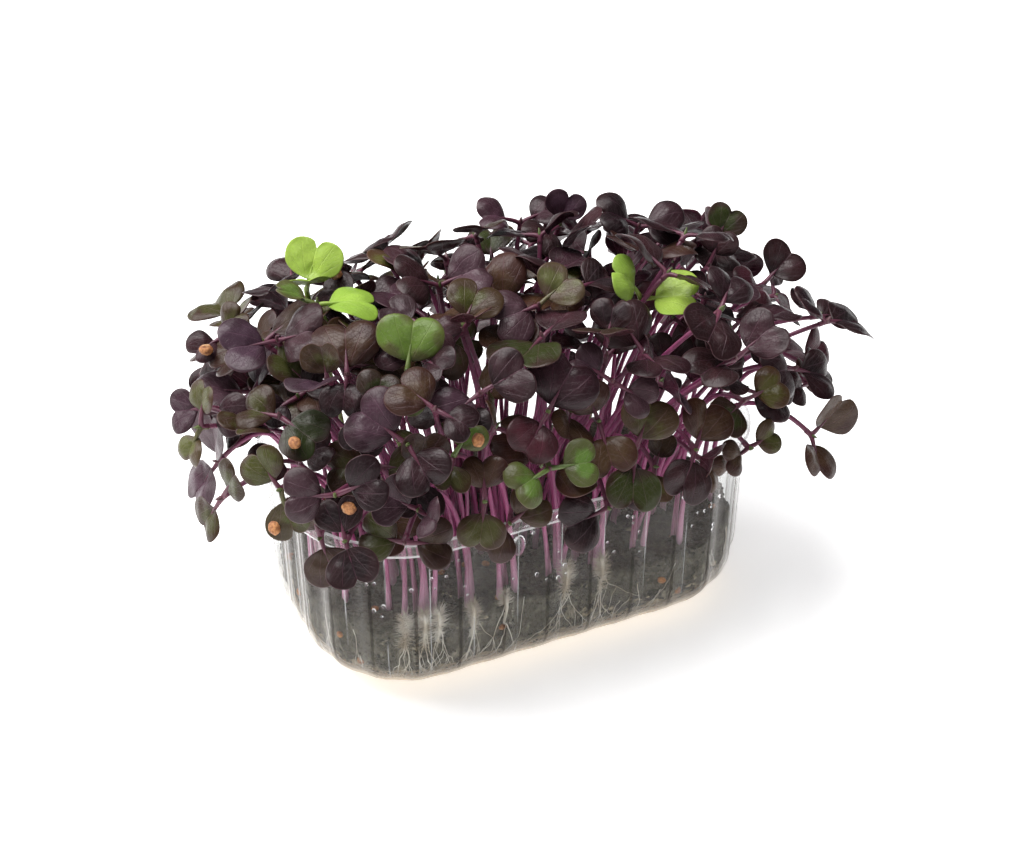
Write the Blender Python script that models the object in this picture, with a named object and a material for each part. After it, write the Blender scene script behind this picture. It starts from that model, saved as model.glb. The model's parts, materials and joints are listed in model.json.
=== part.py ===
"""Radish microgreens growing in a clear fluted tray.

Metres, +Z up. The origin is the middle of the tray's flat base, which stands on z = 0. The tray's long
side runs along X and its front is at -Y. The tray is one thin shell. The growing medium is one block
that fills its lower half. The seedlings stand in plain holes in the medium, three to a tuft, with their
roots grown together in a root plug, so each tuft is one body. A few pale green ones stand alone.
"""

import math
import random

import bmesh
import bpy
from mathutils import Euler, Matrix, Vector
from mathutils.bvhtree import BVHTree
from mathutils.geometry import intersect_ray_tri

# Tray
TRAY_LENGTH = 0.130
TRAY_WIDTH = 0.081
TRAY_HEIGHT = 0.053
TRAY_CORNER = 0.031
WALL = 0.0007
RIM_BAND = 0.0045
RIM_STEP = 0.0020
TRAY_TAPER = 0.0010
BASE_FILLET = 0.0150
FLUTES = 30
POINTS_PER_FLUTE = 2
FLUTE_DEPTH = 0.0006
FILLET_STEPS = 4

# Growing medium
SOIL_TOP = 0.024
FIT_GAP = 0.0005
SOIL_BUMP = 0.0007
HOLE_SIDES = 6

# Root plugs, which stand in holes in the medium
PLUG_RADIUS = 0.0038
PLUG_TAPER = 0.10
PLUG_TOP = SOIL_TOP + 0.0012
PLUG_DEPTH = 0.0100
ROOT_SINK = 0.0025
LONE_PLUG_RADIUS = 0.0026
TUFT_SPREAD = 0.0017

# Stems and leaves
STEM_WIDTH = 0.0017
STEM_STEPS = 4
STEM_FOOT = PLUG_TOP + 0.0012
BLADE_THICKNESS = 0.0007
BLADE_WIDTH = (0.0125, 0.0185)
PETIOLE = (0.0018, 0.0042)
CLEARANCE = 0.0004
MERGE = 0.00002

# Outline of half a seed leaf, as shares of its width: across, then along from the petiole
HALF_BLADE = ((0.30, 0.10), (0.50, 0.32), (0.40, 0.62), (0.20, 0.68))
NOTCH = 0.50

# Canopy: a rounded mound of leaves, higher at the back and leaning out past both ends
CANOPY_CENTRE = Vector((0.004, 0.002, 0.052))
CANOPY_LEFT = 0.090
CANOPY_RIGHT = 0.106
CANOPY_FRONT = 0.051
CANOPY_BACK = 0.048
CANOPY_RISE = 0.049
CANOPY_SQUARENESS = 0.68
LOWEST_AT_FRONT = math.radians(86)
LOWEST_AT_ENDS = math.radians(100)
LEAF_LEFT = -0.0905
LEAF_RIGHT = 0.1070
LEAF_SIDE = 0.0580
LEAF_LOWEST = 0.043
TUFT_ROWS = ((-0.0300, 7), (-0.0155, 8), (0.0, 8), (0.0155, 8), (0.0300, 6))
SEEDLINGS_PER_TUFT = 3
TRIES = 320
SEED = 7
# Poses tried in turn: the shares of the mound's depth, the size, and the range of the leaves' lift
STAGES = (
    (1.05, 0.80, 1.0, 2, 38),
    (1.08, 0.68, 0.92, 5, 50),
    (1.08, 0.55, 0.82, 10, 60),
    (1.10, 0.45, 0.72, 15, 68),
)

# A head, placed by hand: its place in millimetres, the bearing it faces from the front and how far up it
# faces, the turn of its pair of leaves in their own plane, then the width and lift of each leaf
PALE_SEEDLINGS = (
    ((-0.036, 0.022), (-46, 22, 94, -10, 72, 75, 15, 11, 44, 66)),
    ((-0.022, 0.007), (-49, 5, 99, 155, 80, 180, 17, 11, 6, 25)),
    ((0.026, 0.008), (33, -12, 90, -10, 66, -15, 16, 13, 26, 60)),
)
PLACED_HEADS = (
    (-44, -40, 83, -28, 34, 135, 16, 14, 10, 15),
    (-80, 0, 80, -60, 34, 190, 11, 11, 12, 8),
    (-87, -12, 66, -58, 22, 30, 13, 14, 12, 8),
    (-84, -18, 59, -60, 14, -80, 13, 12, 10, 25),
    (-87, -3, 74, -66, 26, 70, 12, 11, 10, 20),
    (86, -13, 60, 45, 40, -10, 14, 12, 30, 10),
    (84, 4, 70, 60, 30, 30, 13, 13, 15, 20),
    (80, -26, 58, 35, 30, -40, 14, 12, 12, 10),
    (-36, 13, 97, -10, 76, -15, 15, 15, 10, 12),
    (-61, 2, 93, -35, 60, 20, 17, 16, 30, 20),
    (-70, 18, 88, -40, 55, 60, 10, 10, 40, 20),
    (-65, -5, 89, -40, 45, 75, 12, 12, 10, 15),
    (-51, -20, 93, -28, 46, 88, 17, 12, 5, 5),
    (-38, -26, 94, -25, 44, 82, 16, 11, 8, 5),
    (-29, -14, 98, -20, 62, -40, 10, 11, 5, 5),
    (-18, 1, 99, -10, 64, 0, 15, 15, 38, 34),
    (-20, -17, 96, -20, 50, 70, 14, 13, 10, 10),
    (-38, -36, 88, -22, 42, 95, 16, 12, 6, 10),
    (-51, -33, 87, -35, 42, 100, 12, 12, 8, 5),
    (-36, -42, 80, -18, 40, 45, 11, 10, 30, 20),
    (-24, -36, 90, -15, 44, 30, 14, 13, 15, 5),
    (-69, -17, 86, -35, 62, 0, 15, 14, 4, 6),
    (-73, -31, 73, -48, 24, 120, 12, 12, 10, 15),
    (-63, -38, 72, -30, 30, 20, 14, 14, 15, 25),
    (-64, -40, 62, -32, 24, -25, 15, 14, 10, 12),
    (-49, -46, 65, -18, 32, 10, 15, 15, 8, 10),
    (-28, -48, 67, -12, 30, 92, 11, 12, 4, 6),
    (-19, -48, 57, -10, 24, 55, 13, 13, 10, 10),
    (1, -17, 98, -15, 54, 200, 15, 13, 10, 15),
    (27, 24, 96, 0, 60, 40, 11, 12, 55, 20),
    (20, 32, 94, 0, 74, -15, 12, 13, 22, 26),
    (48, 18, 94, 10, 64, -20, 15, 15, 18, 24),
    (70, 14, 86, 20, 60, 40, 11, 13, 55, 15),
    (74, -6, 82, 30, 54, 0, 13, 13, 40, 18),
    (-8, -41, 83, -12, 40, 60, 18, 13, 8, 10),
    (11, -38, 85, -8, 44, -35, 11, 11, 8, 5),
    (13, -47, 69, -4, 34, 70, 15, 15, 8, 8),
    (-10, -46, 74, -10, 38, 35, 13, 13, 15, 20),
    (30, -46, 63, 4, 30, 80, 15, 15, 6, 8),
    (48, -41, 56, 10, 26, -10, 10, 10, 15, 15),
    (68, -32, 71, 30, 36, -30, 14, 14, 10, 20),
    (50, -38, 70, 12, 44, 10, 12, 12, 30, 15),
    (5, -49, 56, -5, 24, 200, 15, 13, 8, 10),
    (18, -47, 59, 0, 24, -95, 12, 11, 6, 12),
)
PLACED_TRIES = 60
# The placed heads show towards this bearing from the front and this rise, so no other leaf lies over them there
SHOWN_TOWARDS = (-25, 33)
HEAD_TO_ROOT = (0.00064, 0.00064)
# Seed husks lie on the leaves nearest to these places, in millimetres
HUSK_SPOTS = ((-33, 18, 101), (-72, 15, 88), (-76, -32, 70), (-69, -33, 77), (-58, -40, 72), (-25, -44, 81))
HUSK_RADII = (0.0018, 0.0015, 0.0012)
HUSK_LIFT = 0.0008

COLOURS = {
    "clear plastic": ((0.80, 0.82, 0.82), 0.12, 0.30),
    "growing medium": ((0.070, 0.062, 0.050), 0.95, 1.0),
    "purple seedlings": ((0.085, 0.040, 0.060), 0.45, 1.0),
    "olive seedlings": ((0.095, 0.085, 0.045), 0.45, 1.0),
    "pale green seedlings": ((0.30, 0.46, 0.09), 0.45, 1.0),
    "seed husk": ((0.52, 0.23, 0.09), 0.60, 1.0),
}


def clear_scene():
    for obj in list(bpy.data.objects):
        bpy.data.objects.remove(obj)


def material(name):
    """A plain finish of that name, made once."""
    found = bpy.data.materials.get(name)
    if found:
        return found
    colour, roughness, alpha = COLOURS[name]
    made = bpy.data.materials.new(name)
    made.use_nodes = True
    shader = made.node_tree.nodes["Principled BSDF"]
    shader.inputs["Base Color"].default_value = (*colour, 1.0)
    shader.inputs["Roughness"].default_value = roughness
    shader.inputs["Metallic"].default_value = 0.0
    shader.inputs["Alpha"].default_value = alpha
    return made


def add_object(name, bm, finish):
    """The bmesh as a named object with its normals pointing out."""
    bmesh.ops.recalc_face_normals(bm, faces=bm.faces)
    mesh = bpy.data.meshes.new(name)
    bm.to_mesh(mesh)
    bm.free()
    obj = bpy.data.objects.new(name, mesh)
    bpy.context.scene.collection.objects.link(obj)
    if finish:
        mesh.materials.append(material(finish))
    return obj


def rim_outline(points=FLUTES * POINTS_PER_FLUTE):
    """Points evenly spaced round the rim's edge, a rounded rectangle, each with its outward direction."""
    half_x, half_y, corner = TRAY_LENGTH / 2, TRAY_WIDTH / 2, TRAY_CORNER
    straight_x = 2 * (half_x - corner)
    straight_y = 2 * (half_y - corner)
    arc = math.pi / 2 * corner
    runs = (straight_y, arc, straight_x, arc, straight_y, arc, straight_x, arc)
    total = sum(runs)
    centres = ((1, 1), (-1, 1), (-1, -1), (1, -1))
    made = []
    for i in range(points):
        along = (i / points * total + straight_y / 2) % total
        run = 0
        while along > runs[run]:
            along -= runs[run]
            run += 1
        # Each quarter is a straight that leads to a rounded corner.
        quarter = run // 2
        cx = centres[quarter][0] * (half_x - corner)
        cy = centres[quarter][1] * (half_y - corner)
        turn = quarter * math.pi / 2
        before = 0.0
        if run % 2:
            turn += along / corner
        else:
            before = runs[run] - along
        nx, ny = math.cos(turn), math.sin(turn)
        made.append((cx + corner * nx + before * ny, cy + corner * ny - before * nx, nx, ny))
    return made


def tray_outline(inset, flute_depth, points=FLUTES * POINTS_PER_FLUTE):
    """The rim's edge moved inwards by an inset, every other point pushed out and in by the flutes."""
    made = []
    for i, (x, y, nx, ny) in enumerate(rim_outline(points)):
        move = flute_depth * math.cos(2 * math.pi * i / POINTS_PER_FLUTE) - inset
        made.append((x + move * nx, y + move * ny))
    return made


def wall_inset(z):
    """How far the tray's outer wall lies inside the rim's edge at height z, and the share of flute there."""
    wall_top = TRAY_HEIGHT - RIM_BAND
    taper = RIM_STEP + TRAY_TAPER * (wall_top - z) / wall_top
    if z >= BASE_FILLET:
        return taper, 1.0
    drop = BASE_FILLET - z
    return taper + BASE_FILLET - math.sqrt(max(BASE_FILLET**2 - drop**2, 0.0)), z / BASE_FILLET


def skin_rings(thickness, lowest, highest):
    """Rings of the tray's wall from the base up, moved in by a thickness measured square to the skin."""
    rings = []
    for step in range(FILLET_STEPS + 1):
        angle = math.pi / 2 * step / FILLET_STEPS
        z = BASE_FILLET * (1 - math.cos(angle))
        inset, share = wall_inset(z)
        lift = thickness * math.cos(angle)
        rings.append((max(z + lift, lowest), inset + thickness * math.sin(angle), share))
    inset, _ = wall_inset(highest)
    rings.append((highest, inset + thickness, 1.0))
    return rings


def add_rings(bm, rings):
    """One loop of vertices for each ring (z, inset, share of flute), bridged one to the next."""
    loops = []
    for z, inset, share in rings:
        outline = tray_outline(inset, FLUTE_DEPTH * share)
        loops.append([bm.verts.new((x, y, z)) for x, y in outline])
    for low, high in zip(loops, loops[1:]):
        for i, vert in enumerate(low):
            nxt = (i + 1) % len(low)
            bm.faces.new((vert, low[nxt], high[nxt], high[i]))
    return loops


def build_tray():
    """A thin shell: base, rounded foot, fluted wall, and a plain rim band set out by a small step."""
    bm = bmesh.new()
    wall_top = TRAY_HEIGHT - RIM_BAND
    outer = skin_rings(0.0, 0.0, wall_top)
    rim = [(wall_top, 0.0, 0.0), (TRAY_HEIGHT, 0.0, 0.0), (TRAY_HEIGHT, WALL, 0.0)]
    inner_step = wall_top + WALL
    inner = skin_rings(WALL, WALL, inner_step)
    loops = add_rings(bm, outer + rim + [(inner_step, WALL, 0.0)] + inner[::-1])
    bm.faces.new(loops[0])
    bm.faces.new(loops[-1])
    tray = add_object("tray", bm, "clear plastic")
    tray.data.shade_smooth()
    tray.data.set_sharp_from_angle(angle=math.radians(40))
    return tray


def soil_height(x, y):
    """The medium's top, slightly uneven."""
    return SOIL_TOP + SOIL_BUMP * (math.sin(x * 230 + 1.3) * math.cos(y * 260) + 0.5 * math.sin(y * 410 + x * 120))


def build_soil(holes):
    """The block of growing medium, shaped to the inside of the tray, with a plain hole for each root plug."""
    bm = bmesh.new()
    gap = WALL + FIT_GAP
    rings = skin_rings(gap, gap, SOIL_TOP)
    loops = add_rings(bm, rings)
    for vert in loops[-1]:
        vert.co.z = soil_height(vert.co.x, vert.co.y)
    inset, share = wall_inset(SOIL_TOP)
    top_ring = tray_outline(inset + gap + 0.010, 0.0, FLUTES // 2)
    ring = [bm.verts.new((x, y, soil_height(x, y))) for x, y in top_ring]
    centre = bm.verts.new((0, 0, soil_height(0, 0)))
    outer, stride = loops[-1], len(loops[-1]) // len(ring)
    for i, vert in enumerate(ring):
        nxt = ring[(i + 1) % len(ring)]
        span = [outer[(i * stride + k) % len(outer)] for k in range(stride + 1)]
        for a, b in zip(span, span[1:]):
            bm.faces.new((vert, a, b))
        bm.faces.new((vert, span[-1], nxt))
        bm.faces.new((centre, vert, nxt))
    bm.faces.new(loops[0])
    soil = add_object("growing_medium", bm, "growing medium")
    cutters = bpy.data.collections.new("hole cutters")
    bpy.context.scene.collection.children.link(cutters)
    for number, (x, y, radius) in enumerate(holes):
        bm = bmesh.new()
        add_plug(bm, (x, y), radius + FIT_GAP, PLUG_TOP - PLUG_DEPTH - FIT_GAP, PLUG_TOP + 0.002)
        cutter = add_object(f"hole_cutter_{number:02d}", bm, None)
        bpy.context.scene.collection.objects.unlink(cutter)
        cutters.objects.link(cutter)
        cutter.hide_render = True
        cutter.display_type = "WIRE"
    cut = soil.modifiers.new("holes", "BOOLEAN")
    cut.operation = "DIFFERENCE"
    cut.operand_type = "COLLECTION"
    cut.collection = cutters
    return soil


def add_plug(bm, centre, radius, low, high):
    """A six-sided prism from one height to another, narrower below, with this radius at the plugs' top."""
    loops = []
    for z in (low, high):
        here = radius + PLUG_TAPER * (z - PLUG_TOP)
        corners = [2 * math.pi * i / HOLE_SIDES for i in range(HOLE_SIDES)]
        loops.append([bm.verts.new((centre[0] + here * math.cos(c), centre[1] + here * math.sin(c), z)) for c in corners])
    for i in range(HOLE_SIDES):
        nxt = (i + 1) % HOLE_SIDES
        bm.faces.new((loops[0][i], loops[0][nxt], loops[1][nxt], loops[1][i]))
    bm.faces.new(loops[0])
    bm.faces.new(loops[1])


def facing(bearing, rise):
    """The direction at that bearing from the front and that rise above level, in degrees."""
    turn, up = math.radians(bearing), math.radians(rise)
    return Vector((math.sin(turn) * math.cos(up), -math.cos(turn) * math.cos(up), math.sin(up)))


class Blade:
    """One seed leaf: its width, petiole length, lift and turn about the stem, fold and droop."""

    def __init__(self, rng, width, lift):
        self.width = width
        self.petiole = rng.uniform(*PETIOLE)
        self.lift = lift
        self.turn = math.radians(rng.uniform(-16, 16))
        self.fold = rng.uniform(-0.05, 0.32)
        self.droop = rng.uniform(0.05, 0.42)

    def height(self, across, along):
        """How far the leaf stands off its own flat plane there. Across and along are shares of its width."""
        return self.width * (self.fold * abs(across) - self.droop * along * along)


class Seedling:
    """A stem that rises from its root and a pair of seed leaves on its head."""

    def __init__(self, rng, root, head, normal, axis_turn, widths, lifts):
        self.root = Vector(root)
        self.head = Vector(head)
        self.normal = Vector(normal).normalized()
        side = Vector((-self.normal.y, self.normal.x, 0)).normalized()
        self.axis = (side * math.cos(axis_turn) + self.normal.cross(side) * math.sin(axis_turn)).normalized()
        self.across = self.normal.cross(self.axis)
        self.blades = [Blade(rng, width, lift) for width, lift in zip(widths, lifts)]
        self.bend = self.stem_controls()

    def stem_controls(self):
        """Bezier points: up from the root, clear of the rim, then out to the head from behind its leaves."""
        inner_x = TRAY_LENGTH / 2 - 0.0085
        inner_y = TRAY_WIDTH / 2 - 0.0085
        out = Vector((self.head.x - self.root.x, self.head.y - self.root.y, 0))
        mid = Vector((self.root.x + out.x * 0.25, self.root.y + out.y * 0.25, 0))
        reach = (abs(mid.x / inner_x) ** 3.2 + abs(mid.y / inner_y) ** 3.2) ** (1 / 3.2)
        if reach > 1:
            mid = mid / reach
        foot = Vector((self.root.x, self.root.y, STEM_FOOT))
        rise = max(self.head.z, TRAY_HEIGHT + 0.012) - foot.z
        behind = self.head - self.normal * 0.30 * rise
        span = (abs(self.head.x / inner_x) ** 3.2 + abs(self.head.y / inner_y) ** 3.2) ** (1 / 3.2)
        overhang = min(1.0, max(0.0, (span - 1.0) / 0.25))
        low = Vector((mid.x, mid.y, max(foot.z + 0.55 * rise, overhang * (TRAY_HEIGHT + 0.014))))
        high = Vector((mid.x * 0.40 + behind.x * 0.60, mid.y * 0.40 + behind.y * 0.60, behind.z))
        high.z = max(high.z, overhang * (TRAY_HEIGHT + 0.019))
        return foot, low, high, self.head

    def stem_point(self, t):
        a, b, c, d = self.bend
        s = 1 - t
        return a * s**3 + b * 3 * s * s * t + c * 3 * s * t * t + d * t**3

    def stem_heading(self, t):
        return (self.stem_point(min(t + 0.01, 1.0)) - self.stem_point(max(t - 0.01, 0.0))).normalized()

    def blade_frame(self, which):
        """The directions along, across and square to one leaf."""
        blade = self.blades[which]
        sign = 1 if which == 0 else -1
        flat = self.axis * sign * math.cos(blade.turn) + self.across * math.sin(blade.turn)
        along = flat * math.cos(blade.lift) + self.normal * math.sin(blade.lift)
        across = self.normal.cross(flat)
        return along, across, along.cross(across)

    def blade_outline(self, which, spread=0.0):
        """The leaf's outline from one side of its base round to the other, as points on its middle surface."""
        blade = self.blades[which]
        along, across, square = self.blade_frame(which)
        half = list(HALF_BLADE)
        shape = half + [(0.0, NOTCH)] + [(-u, v) for u, v in half[::-1]]
        made = []
        for u, v in shape:
            point = self.head + across * u * (blade.width + spread) + along * (blade.petiole + v * (blade.width + spread))
            made.append(point + square * blade.height(u, v))
        return made, square


def seedling_mesh(bm, plant, pad=0.0):
    """Adds one seedling as one closed body: a four-sided stem whose top edge is the waist between the leaves."""
    half = STEM_WIDTH / 2 + pad
    thick = BLADE_THICKNESS / 2 + pad
    waist = [(1, 1), (-1, 1), (-1, -1), (1, -1)]
    corners = [plant.head + plant.axis * s * half + plant.across * c * half for s, c in waist]
    top_waist = [bm.verts.new(p + plant.normal * thick) for p in corners]
    low_waist = [bm.verts.new(p - plant.normal * thick) for p in corners]
    faces = [top_waist]
    # Leaf 0 grows from the waist's edge 3-0 and leaf 1 from its edge 1-2.
    for which, (start, end) in enumerate(((3, 0), (1, 2))):
        outline, square = plant.blade_outline(which, 2 * pad)
        top = [bm.verts.new(p + square * thick) for p in outline]
        low = [bm.verts.new(p - square * thick) for p in outline]
        if (outline[0] - corners[start]).length > (outline[0] - corners[end]).length:
            top, low = top[::-1], low[::-1]
        for layer, ends, flip in ((top, top_waist, False), (low, low_waist, True)):
            a, b = ends[start], ends[end]
            last = len(layer) - 1
            notch = len(layer) // 2
            # Split alike on both faces: the wedge at the base, then each lobe as a fan.
            cells = [(a, layer[0], layer[last]), (a, layer[last], b), (layer[0], layer[notch], layer[last])]
            cells += [(layer[0], layer[i], layer[i + 1]) for i in range(1, notch)]
            cells += [(layer[last], layer[i], layer[i + 1]) for i in range(notch, last - 1)]
            for cell in cells:
                faces.append(cell[::-1] if flip else cell)
        ring_top = [top_waist[start], *top, top_waist[end]]
        ring_low = [low_waist[start], *low, low_waist[end]]
        for i in range(len(ring_top) - 1):
            faces.append((ring_top[i], ring_low[i], ring_low[i + 1], ring_top[i + 1]))
    for start, end in ((0, 1), (2, 3)):
        faces.append((top_waist[start], low_waist[start], low_waist[end], top_waist[end]))
    previous = low_waist
    side = plant.axis
    for step in range(1, STEM_STEPS + 1):
        t = 1 - step / STEM_STEPS
        centre, heading = plant.stem_point(t), plant.stem_heading(t)
        side = (side - heading * side.dot(heading)).normalized()
        other = heading.cross(side)
        ring = [bm.verts.new(centre + side * s * half + other * c * half) for s, c in waist]
        for i in range(4):
            nxt = (i + 1) % 4
            faces.append((previous[i], ring[i], ring[nxt], previous[nxt]))
        previous = ring
    ring = [bm.verts.new((vert.co.x, vert.co.y, plant.root.z)) for vert in previous]
    for i in range(4):
        nxt = (i + 1) % 4
        faces.append((previous[i], ring[i], ring[nxt], previous[nxt]))
    faces.append(ring[::-1])
    made = [bm.faces.new(face) for face in faces]
    bmesh.ops.triangulate(bm, faces=made)


def husk_mesh(bm, place, turn):
    """Adds one seed husk, a small egg."""
    made = bmesh.ops.create_uvsphere(bm, u_segments=8, v_segments=6, radius=1.0)
    frame = Matrix.Translation(place) @ turn @ Matrix.Diagonal((*HUSK_RADII, 1.0))
    bmesh.ops.transform(bm, matrix=frame, verts=made["verts"])


def tree_of(plant, pad=0.0):
    bm = bmesh.new()
    seedling_mesh(bm, plant, pad)
    tree = BVHTree.FromBMesh(bm)
    bm.free()
    return tree


def crosses_itself(plant):
    """True if the seedling's stem runs through its own leaves or too near them, or a leaf through the other."""
    down = (plant.stem_point(1 - 1 / STEM_STEPS) - plant.head).normalized()
    alongs = [plant.blade_frame(which)[0] for which in (0, 1)]
    if down.dot(plant.normal) > -0.30 or max(down.dot(along) for along in alongs) > 0.62:
        return True
    if alongs[0].dot(alongs[1]) > 0.45:
        return True
    for pad in (CLEARANCE / 2, 0.0):
        bm = bmesh.new()
        seedling_mesh(bm, plant, pad)
        bm.faces.ensure_lookup_table()
        tree = BVHTree.FromBMesh(bm)
        crossed = any(faces_cross(bm.faces[a], bm.faces[b]) for a, b in tree.overlap(tree))
        bm.free()
        if crossed:
            return True
    return False


def faces_cross(one, two):
    """True if two triangles that overlap do more than meet at the corners they share."""
    shared = set(one.verts) & set(two.verts)
    if len(shared) != 1:
        return not shared
    for edged, faced in ((one, two), (two, one)):
        a, b = [vert.co for vert in edged.verts if vert not in shared]
        hit = intersect_ray_tri(*[vert.co for vert in faced.verts], b - a, a, True)
        if hit and (hit - a).dot(b - a) <= (b - a).length_squared:
            return True
    return False


def lobe_middles(plant):
    """The middles of the four lobes of a seedling's leaves."""
    outlines = [plant.blade_outline(which)[0] for which in (0, 1)]
    return [sum(lobe, Vector()) / 5 for outline in outlines for lobe in (outline[:5], outline[4:])]


def tray_tree():
    """The tray's wall as a plain band, against which stems and leaves are tested."""
    bm = bmesh.new()
    margin = CLEARANCE + FLUTE_DEPTH
    rings = [(0.0, -margin, 0.0), (TRAY_HEIGHT + margin, -margin, 0.0)]
    rings += [(TRAY_HEIGHT + margin, RIM_STEP + TRAY_TAPER + WALL + margin, 0.0), (0.020, RIM_STEP + TRAY_TAPER + WALL + margin, 0.0)]
    add_rings(bm, rings)
    tree = BVHTree.FromBMesh(bm)
    bm.free()
    return tree


def canopy_head(root, rng, depth, sink):
    """Where a seedling's head goes for its root: roots at the wall go to the mound's foot, the rest above."""
    reach_x = TRAY_LENGTH / 2 - 0.009
    reach_y = TRAY_WIDTH / 2 - 0.009
    rho = ((abs(root[0]) / reach_x) ** 2.6 + (abs(root[1]) / reach_y) ** 2.6) ** (1 / 2.6)
    rho = min(rho, 1.0)
    endward = root[0] ** 2 / max(root[0] ** 2 + root[1] ** 2, 1e-9)
    lowest = LOWEST_AT_FRONT + (LOWEST_AT_ENDS - LOWEST_AT_FRONT) * endward
    cosine = 1 - (1 - math.cos(lowest)) * rho * rho
    angle = math.acos(max(-1.0, min(1.0, cosine))) + sink
    around = math.atan2(root[1] / reach_y, root[0] / reach_x) + rng.uniform(-0.16, 0.16)
    squeeze = CANOPY_SQUARENESS
    out = abs(math.sin(angle)) ** squeeze
    up = math.copysign(abs(math.cos(angle)) ** squeeze, math.cos(angle))
    cx = math.copysign(abs(math.cos(around)) ** squeeze, math.cos(around))
    cy = math.copysign(abs(math.sin(around)) ** squeeze, math.sin(around))
    half_x = CANOPY_RIGHT if cx > 0 else CANOPY_LEFT
    half_y = CANOPY_BACK if cy > 0 else CANOPY_FRONT
    side = Vector((out * cx * half_x, out * cy * half_y, 0)) * depth
    droop = 0.17 * max(0.0, side.x - 0.030)
    place = CANOPY_CENTRE + side + Vector((0, 0, up * CANOPY_RISE * depth - droop))
    normal = Vector((side.x / half_x**2, side.y / half_y**2, up * depth / CANOPY_RISE + 0.35 / CANOPY_RISE))
    return place, normal.normalized()


def within_limits(plant):
    """True if the leaves stay near the mound: none reaches too far out, hangs too low or juts out high up."""
    points = plant.blade_outline(0)[0] + plant.blade_outline(1)[0]
    return all(
        LEAF_LEFT < p.x < LEAF_RIGHT - 0.5 * max(0.0, p.z - 0.055)
        and abs(p.y) < LEAF_SIDE
        and p.z > LEAF_LOWEST + 0.6 * max(0.0, p.x - 0.083)
        for p in points
    )


def jitter(rng, vector, amount):
    nudge = Vector([rng.uniform(-amount, amount) for _ in range(3)])
    return (vector + nudge).normalized()


def tuft_places():
    """Middles of the tufts: staggered rows along the tray, each as long as the rounded ends allow."""
    places = []
    margin = RIM_STEP + TRAY_TAPER + WALL + FIT_GAP + PLUG_RADIUS + 0.0022
    half_x, half_y = TRAY_LENGTH / 2 - margin, TRAY_WIDTH / 2 - margin
    corner = TRAY_CORNER - margin
    for y, count in TUFT_ROWS:
        over = max(0.0, abs(y) - (half_y - corner))
        end = half_x - corner + math.sqrt(max(corner**2 - over**2, 0.0))
        for i in range(count):
            places.append((-end + 2 * end * i / (count - 1), y))
    return places


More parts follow.
